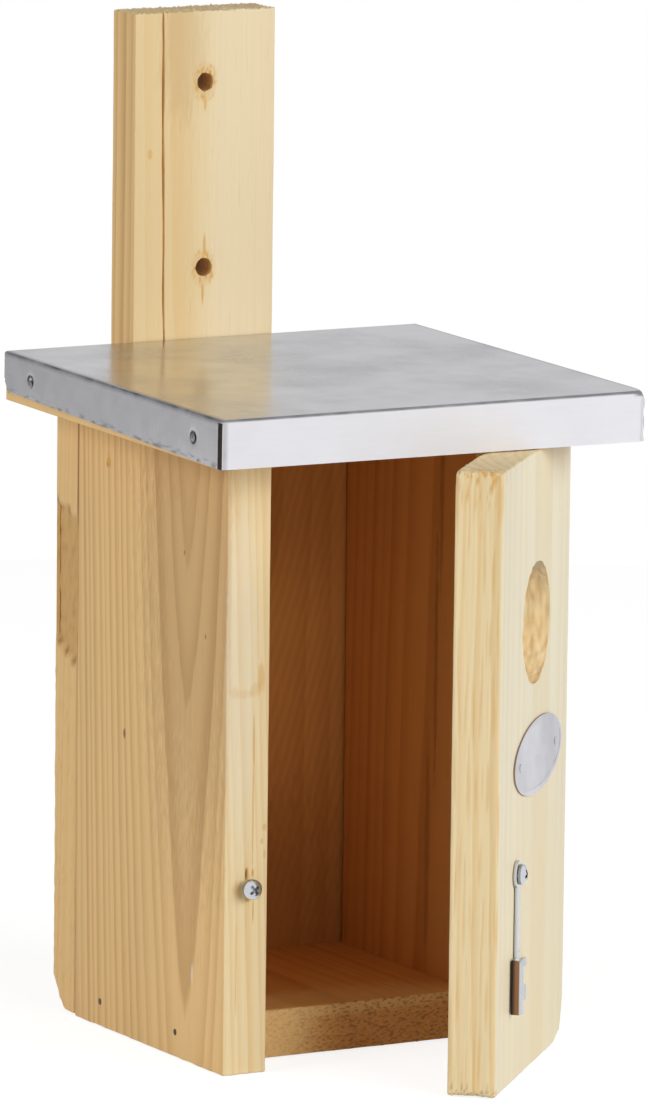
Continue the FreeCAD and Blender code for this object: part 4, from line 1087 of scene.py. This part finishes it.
class NESTBOX_OT_roof_sheet(bpy.types.Operator):
    """Make the folded sheet over the roof board"""

    bl_idname = "nestbox.roof_sheet"
    bl_label = "Roof Sheet"

    def execute(self, context):
        sizes = context.scene.nest_metal
        low, high = own_box("roof_sheet", ON_ROOF)
        size = high - low
        nails = [(solid @ ON_ROOF - low).mean(axis=0) for solid in solids_of("roof_sheet_nails")]
        near = tuple(fine(along, 4, 0.4) for along in sorted({round(nail[1], 4) for nail in nails}))
        points, quads = grid_box(size, (3, 3, 0.7), ((), near, ()))
        # Leave open the seam, the underside and the rear
        across, along, up = points[quads].mean(axis=1).T
        seam = np.isclose(across, 0.0) & (along < sizes.sheet_seam) & (up < size[2] - sizes.sheet_fold)
        quads = quads[~(seam | np.isclose(up, 0.0) | np.isclose(along, size[1]))]
        knocked = fade(np.hypot(size[0] - points[:, 0], points[:, 1]), 1.5 * MM, 7 * MM)
        fold = sizes.sheet_fold * (1.0 + 1.2 * knocked)
        points, out = eased(points, np.array((0, 0, -FAR)), size + (0, FAR, 0), fold)
        across, along, up = points.T
        flank = np.abs(out[:, 0]) > 0.5
        upright = np.hypot(out[:, 0], out[:, 1])
        rise = SHEET_WAVE * lumps(points, (45, 45, 20), 51)
        rise += CORNER_DENT * lumps(points, (1.8, 1.8, 2.4), 53) * knocked * ramp(upright, 0.5, 0.9)
        # Wear along the folds, beside them and at the left flange's foot, and a painted shade as a dark ring round
        # the nails
        dashes = np.where(flank, 0.45, 0.15) * lumps(points, (4, 4, 4), 55)
        worn = ramp(np.minimum(np.abs(out[:, 2]), upright), 0.1, 0.5) * np.clip(0.7 + dashes, 0.2, 0.95)
        specks = ramp(lumps(points, (3, 3, 1.5), 57), 0.0, 0.4) * fade(up, 0.5 * MM, 3 * MM)
        worn = np.maximum(worn, 0.6 * specks * (out[:, 0] < -0.5))
        inset = np.where(flank, size[2] - up, np.minimum(across, size[0] - across))
        beside = fade(inset - sizes.sheet_fold, 0.0, FOLD_BAND)
        worn = np.maximum(worn, 0.55 * beside * np.clip(0.6 + dashes, 0.0, 1.0))
        for nail in nails:
            away = np.hypot(along - nail[1], up - nail[2])
            rise -= flank * NAIL_DIMPLE * np.exp(-((away / DIMPLE_REACH) ** 2))
            # Painted shade: a dark ring round each nail.
            worn = np.maximum(worn, flank * 1.3 * fade(np.abs(away - NAIL_EDGE), 0.3 * MM, 0.9 * MM))
        hang = 1.0 - up / size[2]
        points = points + out * rise[:, None]
        clip = size[1] - CLIP_LENGTH * np.clip(1.0 - points[:, 2] / CLIP_HEIGHT, 0.0, 1.0)
        points[:, 1] = np.where(flank, np.minimum(points[:, 1], clip), points[:, 1])
        points[:, 2] += np.where(flank, FLANGE_RISE * points[:, 1] / size[1] * hang, 0.0)
        points[:, 2] -= FLANGE_SKEW * points[:, 0] / size[0] * hang
        mesh = new_mesh("roof_sheet", (points + low) @ ON_ROOF.T, quads.tolist())
        obj = new_object("roof_sheet_folded", mesh)
        mark(obj, "worn", worn)
        # The front flange is marked dull: rougher and less metallic, and paler, a painted light.
        mark(obj, "dull", 2.0 * ramp(-out[:, 1], 0.6, 0.95))
        gauge = obj.modifiers.new("Gauge", "SOLIDIFY")
        gauge.thickness = sizes.sheet_gauge
        gauge.offset = -1.0
        settle(obj)
        finish_piece(obj, metal("roof"), "box", "roof_sheet")
        return {"FINISHED"}


# Fastener heads: steps and turn of the dome, sides, and painted shade on the rim's side and in the recess
DOME_STEPS = 6
DOME_TURN = math.radians(80)
FASTENER_SIDES = 36
HEAD_SHADE = 0.55
WELD = 0.001 * MM


def join(tree, *pieces):
    node = tree.node("GeometryNodeJoinGeometry")
    for piece in pieces:
        tree.feed(node.inputs[0], piece)
    return node.outputs[0]


def moved_up(tree, piece, height):
    lift = tree.shader("CombineXYZ", {2: height})
    return tree.geometry("Transform", {"Geometry": piece, "Translation": lift})


# Painted shade: darken faces of a fastener's head through its wear and shade mark.
def shade_faces(tree, piece, **which):
    inputs = {"Geometry": piece, "Name": "worn", "Value": HEAD_SHADE, **which}
    return tree.geometry("StoreNamedAttribute", inputs, data_type="FLOAT", domain="FACE")


def fastener_group(name, recessed):
    """Geometry Nodes that stand a domed head on a tapered shank at each point, aimed by an attribute."""
    if name in bpy.data.node_groups:
        return bpy.data.node_groups[name]
    labels = ["Head Radius", "Rim Height", "Dome Height", "Taper Depth", "Shank Radius", "Length"]
    if recessed:
        labels += ["Recess Span", "Recess Width", "Recess Depth"]
    inputs = {"Geometry": "Geometry", **{label: "Float" for label in labels}, "Material": "Material"}
    tree, given = node_group(name, "GeometryNodeTree", inputs, {"Geometry": "Geometry"})
    # Head: a disc that is drawn up into a rim and a dome
    radius = given["Head Radius"]
    disc = tree.geometry("MeshCircle", {"Vertices": FASTENER_SIDES, "Radius": radius}, fill_type="NGON")
    rim = tree.node("GeometryNodeExtrudeMesh", {"Mesh": disc, "Offset Scale": given["Rim Height"]})
    head = shade_faces(tree, rim.outputs["Mesh"], Selection=rim.outputs["Side"])
    selection = rim.outputs["Top"]
    turns = [DOME_TURN * step / DOME_STEPS for step in range(DOME_STEPS + 1)]
    for start, end in zip(turns, turns[1:]):
        rise = tree.math("MULTIPLY", given["Dome Height"], math.sin(end) - math.sin(start))
        draw = {"Mesh": head, "Selection": selection, "Offset Scale": rise}
        drawn = tree.node("GeometryNodeExtrudeMesh", draw).outputs
        selection = drawn["Top"]
        shrink = {"Geometry": drawn["Mesh"], "Selection": selection, "Scale": math.cos(end) / math.cos(start)}
        head = tree.geometry("ScaleElements", shrink)
    head = join(tree, head, tree.geometry("FlipFaces", {"Mesh": disc}))
    head = tree.geometry("MergeByDistance", {"Geometry": head, "Distance": WELD})
    if recessed:
        top = tree.math("ADD", given["Rim Height"], given["Dome Height"])
        deep = tree.math("MULTIPLY", given["Recess Depth"], 2.0)
        cross = tree.node("GeometryNodeMeshBoolean", {"Mesh 1": head}, operation="DIFFERENCE", solver="EXACT")
        for first, second in (("Recess Span", "Recess Width"), ("Recess Width", "Recess Span")):
            span = tree.shader("CombineXYZ", {0: given[first], 1: given[second], 2: deep})
            arm = moved_up(tree, tree.geometry("MeshCube", {"Size": span}), top)
            tree.feed(cross.inputs["Mesh 2"], shade_faces(tree, arm))
        head = cross.outputs["Mesh"]
    # Shank: a taper under the head and a straight rod
    ends = {"Radius Top": radius, "Radius Bottom": given["Shank Radius"], "Depth": given["Taper Depth"]}
    cone = tree.geometry("MeshCone", {"Vertices": FASTENER_SIDES, **ends})
    cone = moved_up(tree, cone, tree.math("MULTIPLY", given["Taper Depth"], -1.0))
    rod = {"Vertices": FASTENER_SIDES, "Radius": given["Shank Radius"], "Depth": given["Length"]}
    shank = moved_up(tree, tree.geometry("MeshCylinder", rod), tree.math("MULTIPLY", given["Length"], -0.5))
    one = join(tree, head, cone, shank)
    aim = tree.geometry("InputNamedAttribute", {"Name": "aim"}, data_type="FLOAT_VECTOR")
    turn = tree.node("FunctionNodeEulerToRotation", {0: aim}).outputs[0]
    copies = {"Points": given["Geometry"], "Instance": one, "Rotation": turn}
    spread = tree.geometry("InstanceOnPoints", copies)
    real = tree.geometry("RealizeInstances", {"Geometry": spread})
    dressed = tree.geometry("SetMaterial", {"Geometry": real, "Material": given["Material"]})
    tree.node("NodeGroupOutput", {"Geometry": dressed})
    return tree.tree


# Heads in millimetres: rim, dome, taper under the head, how far the head stands out, recess depth, and the
# shank's radius as a share of the head's
HEADS = {
    "pan": {"rim": 1.0, "dome": 1.7, "taper": 0.02, "proud": 2.7, "shank": 0.53, "recess": 1.5},
    "sunk": {"rim": 0.1, "dome": 0.1, "taper": 1.3, "proud": 0.2, "shank": 0.53, "recess": 0.9},
    "tack": {"rim": 0.15, "dome": 0.4, "taper": 0.02, "proud": 0.9, "shank": 0.47},
    "lost": {"rim": 0.9, "dome": 0.25, "taper": 0.3, "proud": 1.0, "shank": 0.64},
}
# Recesses: span and width as shares of the head's radius, and degrees from one screw's turn to the next
RECESS_SPAN = 1.1
RECESS_WIDTH = 0.3
RECESS_TURN = 67
BOX_MIDDLE = np.mean(own_box("back_board", SQUARE), axis=0)


def sideways(middle):
    return X if middle[0] > BOX_MIDDLE[0] else -X


def towards(way):
    return lambda middle: way


# Fasteners: node, body, slot, metal, head, way out and turn of the recess in degrees
FASTENERS = (
    ("catch_screw", "box", "plated_steel", "screw", "pan", towards(-Y), 38),
    ("hook_screw", "door", "plated_steel", "screw", "pan", towards(ON_DOOR @ -Y), 20),
    ("hinge_box_screws", "box", "plated_steel", "screw", "sunk", towards(X), 25),
    ("hinge_door_screws", "door", "plated_steel", "screw", "sunk", towards(ON_DOOR @ X), 50),
    ("batten_screws", "box", "plated_steel", "screw", "sunk", towards(Y), 15),
    ("roof_sheet_nails", "box", "nail_steel", "tack", "tack", sideways, 0),
    ("floor_nails", "box", "nail_steel", "nail", "lost", sideways, 0),
    ("back_nails", "box", "nail_steel", "nail", "lost", towards(Y), 0),
    ("oval_plate_nails", "door", "nail_steel", "plate", "tack", towards(ON_DOOR @ -Y), 0),
)


def fasten(node, body, slot, finish, head, way_out, spin):
    """Replace a node's fasteners by ones with shaped heads at the same seats."""
    shape = HEADS[head]
    seats, aims = [], []
    for index, solid in enumerate(solids_of(node)):
        middle = (solid.min(axis=0) + solid.max(axis=0)) / 2
        turn = Vector(way_out(middle)).to_track_quat("Z", "Y")
        own = solid @ np.array(turn.to_matrix())
        size = own.max(axis=0) - own.min(axis=0)
        seat = np.append((own.max(axis=0) + own.min(axis=0))[:2] / 2, own[:, 2].max())
        seat[2] -= shape["proud"] * MM
        seats.append(turn @ Vector(seat))
        aims.extend((turn @ Quaternion(Z, math.radians(spin + RECESS_TURN * index))).to_euler())
    radius = size[:2].max() / 2
    values = {
        "Head Radius": radius,
        "Rim Height": shape["rim"] * MM,
        "Dome Height": shape["dome"] * MM,
        "Taper Depth": shape["taper"] * MM,
        "Shank Radius": radius * shape["shank"],
        "Length": size[2] - shape["proud"] * MM,
        "Recess Span": radius * RECESS_SPAN,
        "Recess Width": radius * RECESS_WIDTH,
        "Recess Depth": shape.get("recess", 0.0) * MM,
        "Material": metal(finish),
    }
    group = fastener_group("Cross Head Screws" if "recess" in shape else "Nails", "recess" in shape)
    obj = new_object(node + "_shaped", new_mesh(node, seats, []))
    obj.data.attributes.new("aim", "FLOAT_VECTOR", "POINT").data.foreach_set("vector", aims)
    stand = obj.modifiers.new("Fasteners", "NODES")
    stand.node_group = group
    for item in group.interface.items_tree:
        if item.in_out == "INPUT" and item.name in values:
            stand[item.identifier] = values[item.name]
    settle(obj)
    finish_piece(obj, metal(finish), body, node)


class NESTBOX_OT_fasteners(bpy.types.Operator):
    """Make the screws and nails"""

    bl_idname = "nestbox.fasteners"
    bl_label = "Fasteners"

    def execute(self, context):
        for fastener in FASTENERS:
            fasten(*fastener)
        NODES["roof_nails"].data.materials.clear()
        NODES["roof_nails"].data.materials.append(metal("nail"))
        return {"FINISHED"}


FLAT_ANGLE = math.radians(1)
SHARP_ANGLE = math.radians(40)


def softened(node, width, cuts=()):
    """A copy of a CAD piece with its sharp edges rounded, divided where planes cut it."""
    work = bmesh.new()
    work.from_mesh(NODES[node].data)
    bmesh.ops.remove_doubles(work, verts=work.verts, dist=WELD)
    bmesh.ops.dissolve_limit(work, angle_limit=FLAT_ANGLE, verts=work.verts, edges=work.edges)
    sharp = [edge for edge in work.edges if edge.is_manifold and edge.calc_face_angle() > SHARP_ANGLE]
    bmesh.ops.bevel(
        work, geom=sharp, offset=width, segments=2, profile=0.5, affect="EDGES", clamp_overlap=True
    )
    for place, way in cuts:
        every = [*work.verts, *work.edges, *work.faces]
        bmesh.ops.bisect_plane(work, geom=every, plane_co=place, plane_no=way)
    mesh = bpy.data.meshes.new(node)
    work.to_mesh(mesh)
    work.free()
    return new_object(node + "_softened", mesh)


# Finger tab: where its bright rim ends and its foot darkens, from the rim inwards, and its worn face's depth. The
# brown stands for worn plating and a painted reflection of the door's wood, and the dark foot beside the door is
# painted shade.
TAB_WEAR_AND_SHADE_DEPTHS = (1.2 * MM, 1.6 * MM, 2.6 * MM, 4.2 * MM)
TAB_FACE = 0.35 * MM
# Rounding of the hook's edges, and of the plate's and the hinges'
HOOK_ROUND = 0.2 * MM
THIN_ROUND = 0.15 * MM
HINGE_PARTS = (("box_leaf", "box"), ("pin", "box"), ("door_leaf", "door"))


class NESTBOX_OT_metalwork(bpy.types.Operator):
    """Make the hook, the oval plate and the hinges"""

    bl_idname = "nestbox.metalwork"
    bl_label = "Metalwork"

    def execute(self, context):
        low, _ = own_box("latch_hook", ON_DOOR)
        cuts = [(ON_DOOR @ (low + Y * depth), ON_DOOR @ Y) for depth in TAB_WEAR_AND_SHADE_DEPTHS]
        hook = softened("latch_hook", HOOK_ROUND, cuts)
        (across, depth, _), _ = (values.T for values in object_points(hook, ON_DOOR, low))
        # Painted reflection and shade: the tab's face browns inwards from its rim and blackens at its foot beside
        # the door.
        worn = ramp(depth, *TAB_WEAR_AND_SHADE_DEPTHS[:2]) + ramp(depth, *TAB_WEAR_AND_SHADE_DEPTHS[2:])
        mark(hook, "worn", np.where(across < TAB_FACE, worn, 0.0))
        finish_piece(hook, metal("hook"), "hook", "latch_hook")
        plate = softened("oval_plate", THIN_ROUND)
        _, normals = object_points(plate, ON_DOOR, low)
        # Painted shade: the plate's edge walls are browned.
        mark(plate, "worn", 0.8 * ramp(np.hypot(normals[:, 0], normals[:, 2]), 0.75, 0.95))
        finish_piece(plate, metal("plate"), "door", "oval_plate")
        for which in ("lower", "upper"):
            for part, body in HINGE_PARTS:
                node = f"{which}_hinge_{part}"
                finish_piece(softened(node, THIN_ROUND), metal("hinge"), body, node)
        return {"FINISHED"}


# Floor: its radius and sides, its paper as light sees it and as the camera does, and the paper's own glow
FLOOR_RADIUS = 1.1
FLOOR_SIDES = 96
PAPER = (0.8, 0.8, 0.8)
SHADOWED_PAPER = (0.35, 0.35, 0.35)
PAPER_GLOW = 0.83


def seen_by_eye(tree):
    """1 for rays from the camera, a reflection or a clear pane, and 0 for light."""
    path = tree.node("ShaderNodeLightPath").outputs
    seen = tree.math("MAXIMUM", path["Is Camera Ray"], path["Is Glossy Ray"])
    return tree.math("MAXIMUM", seen, path["Is Transmission Ray"])


def white_floor():
    """A round of white paper that keeps a faint shadow, and is plain white to reflections."""
    material = bpy.data.materials.new("White Paper")
    tree = cleared(material)
    path = tree.node("ShaderNodeLightPath").outputs
    paper = tree.shader("BsdfDiffuse", {"Color": rgba(PAPER)})
    dim = tree.shader("BsdfDiffuse", {"Color": rgba(SHADOWED_PAPER)})
    glow = tree.shader("Emission", {"Strength": PAPER_GLOW})
    white = tree.shader("Emission", {"Strength": 1.0})
    shadowed = tree.shader("AddShader", {0: dim, 1: glow})
    seen = tree.shader("MixShader", {0: path["Is Camera Ray"], 1: white, 2: shadowed})
    tree.surface(tree.shader("MixShader", {0: seen_by_eye(tree), 1: paper, 2: seen}))
    ground = CAD_LOW.z - bpy.context.scene.nest_timber.sawn_depth
    rim = []
    for turn in np.linspace(0.0, 2 * math.pi, FLOOR_SIDES, endpoint=False):
        way = Vector((math.cos(turn), math.sin(turn)))
        rim.append((*(CAD_MIDDLE.xy + FLOOR_RADIUS * way), ground))
    mesh = new_mesh("floor", rim, [tuple(range(FLOOR_SIDES))])
    mesh.materials.append(material)
    new_object("floor", mesh)


def white_world(ambient):
    """A white surround to the camera and to reflections, and a dim one as light."""
    world = bpy.data.worlds.new("Studio")
    tree = cleared(world)
    light = seen_by_eye(tree) * (1.0 - ambient) + ambient
    surround = tree.shader("Background", {"Color": (1.0, 1.0, 1.0, 1.0), "Strength": light})
    tree.node("ShaderNodeOutputWorld", {"Surface": surround})
    bpy.context.scene.world = world


# Lamps: setting, azimuth and elevation in degrees
LAMPS = (("key", 37, 24), ("front", 10, 15), ("fill", -84, 20))
LAMP_DISTANCE = 2.6
LAMP_SIZE = 1.2


def softbox(name, azimuth, elevation, strength):
    """A square lamp that lights a white surface facing it to the given strength."""
    lamp = bpy.data.lights.new(name, "AREA")
    lamp.size = LAMP_SIZE
    lamp.energy = strength * (math.pi * LAMP_DISTANCE) ** 2
    made = new_object(name, lamp)
    turn, tip = math.radians(azimuth), math.radians(elevation)
    way = Vector((math.sin(turn) * math.cos(tip), -math.cos(turn) * math.cos(tip), math.sin(tip)))
    made.location = CAD_MIDDLE + way * LAMP_DISTANCE
    made.rotation_euler = (-way).to_track_quat("-Z", "Y").to_euler()
    made.visible_glossy = False


# Card: its radius and top, its turns in degrees, and where and how much its left is darker
CARD_RADIUS = 1.3
CARD_TOP = 2.0
CARD_TURNS = range(-80, 85, 5)
CARD_SHADE = (-0.5, 0.4)
CARD_LEFT = 0.72


def reflection_card(strength):
    """A curved grey card behind the box, darker on the left, that only reflections see."""
    material = bpy.data.materials.new("Grey Card")
    tree = cleared(material)
    across, _, _ = tree.parts(tree.node("ShaderNodeTexCoord").outputs["Object"])
    shade = tree.smooth(across, *CARD_SHADE, CARD_LEFT * strength, strength)
    tree.surface(tree.shader("Emission", {"Strength": shade}))
    rim = [(math.sin(turn), math.cos(turn)) for turn in np.radians(CARD_TURNS)]
    points = [(CARD_RADIUS * x, CARD_RADIUS * y, z) for z in (CAD_LOW.z, CARD_TOP) for x, y in rim]
    count = len(rim)
    mesh = new_mesh("card", points, [(i, i + 1, count + i + 1, count + i) for i in range(count - 1)])
    mesh.materials.append(material)
    card = new_object("reflection_card", mesh)
    card.visible_camera = False
    card.visible_diffuse = False
    card.visible_shadow = False
    card.visible_transmission = False


SENSOR_WIDTH = 36.0
CLIP_START = 0.05
CLIP_END = 200.0


def photo_camera(stage):
    """The camera at the photograph's place, roll and focal length."""
    data = bpy.data.cameras.new("camera")
    data.sensor_width = SENSOR_WIDTH
    data.lens = stage.lens
    data.clip_start = CLIP_START
    data.clip_end = CLIP_END
    made = new_object("camera", data)
    yaw, pitch, roll = stage.yaw, stage.pitch, stage.roll
    ahead = Vector((-math.sin(yaw) * math.cos(pitch), math.cos(yaw) * math.cos(pitch), -math.sin(pitch)))
    right = Vector((math.cos(yaw), math.sin(yaw), 0.0))
    up = right.cross(ahead)
    across = math.cos(roll) * right + math.sin(roll) * up
    upright = -math.sin(roll) * right + math.cos(roll) * up
    turn = Matrix((across, upright, -ahead)).transposed()
    made.matrix_world = Matrix.Translation(Vector(stage.target) - ahead * stage.distance) @ turn.to_4x4()
    bpy.context.scene.camera = made


class NESTBOX_OT_stage(bpy.types.Operator):
    """Set out the white floor, the soft lights and the camera"""

    bl_idname = "nestbox.stage"
    bl_label = "Stage"

    def execute(self, context):
        stage = context.scene.nest_stage
        white_floor()
        white_world(stage.ambient)
        for name, azimuth, elevation in LAMPS:
            softbox(name + "_light", azimuth, elevation, getattr(stage, name))
        reflection_card(stage.card)
        photo_camera(stage)
        context.scene.view_settings.view_transform = "Standard"
        return {"FINISHED"}


STEPS = (
    NESTBOX_OT_boards,
    NESTBOX_OT_door,
    NESTBOX_OT_roof_sheet,
    NESTBOX_OT_fasteners,
    NESTBOX_OT_metalwork,
    NESTBOX_OT_stage,
)


class NESTBOX_PT_panel(bpy.types.Panel):
    """Sizes, tones and the pieces in the order that they are made"""

    bl_idname = "NESTBOX_PT_panel"
    bl_label = "Bird Nest Box"
    bl_space_type = "VIEW_3D"
    bl_region_type = "UI"
    bl_category = "Nest Box"

    def draw(self, context):
        for settings in (context.scene.nest_timber, context.scene.nest_metal, context.scene.nest_stage):
            box = self.layout.box()
            for name in settings.__annotations__:
                box.prop(settings, name)
        for step in STEPS:
            self.layout.operator(step.bl_idname)


CLASSES = (TimberSettings, MetalSettings, StageSettings, *STEPS, NESTBOX_PT_panel)


def register():
    for made in CLASSES:
        bpy.utils.register_class(made)
    bpy.types.Scene.nest_timber = PointerProperty(type=TimberSettings)
    bpy.types.Scene.nest_metal = PointerProperty(type=MetalSettings)
    bpy.types.Scene.nest_stage = PointerProperty(type=StageSettings)


def unregister():
    del bpy.types.Scene.nest_stage
    del bpy.types.Scene.nest_metal
    del bpy.types.Scene.nest_timber
    for made in reversed(CLASSES):
        bpy.utils.unregister_class(made)


def main():
    register()
    bpy.ops.nestbox.boards()
    bpy.ops.nestbox.door()
    bpy.ops.nestbox.roof_sheet()
    bpy.ops.nestbox.fasteners()
    bpy.ops.nestbox.metalwork()
    bpy.ops.nestbox.stage()


if __name__ == "__main__":
    main()
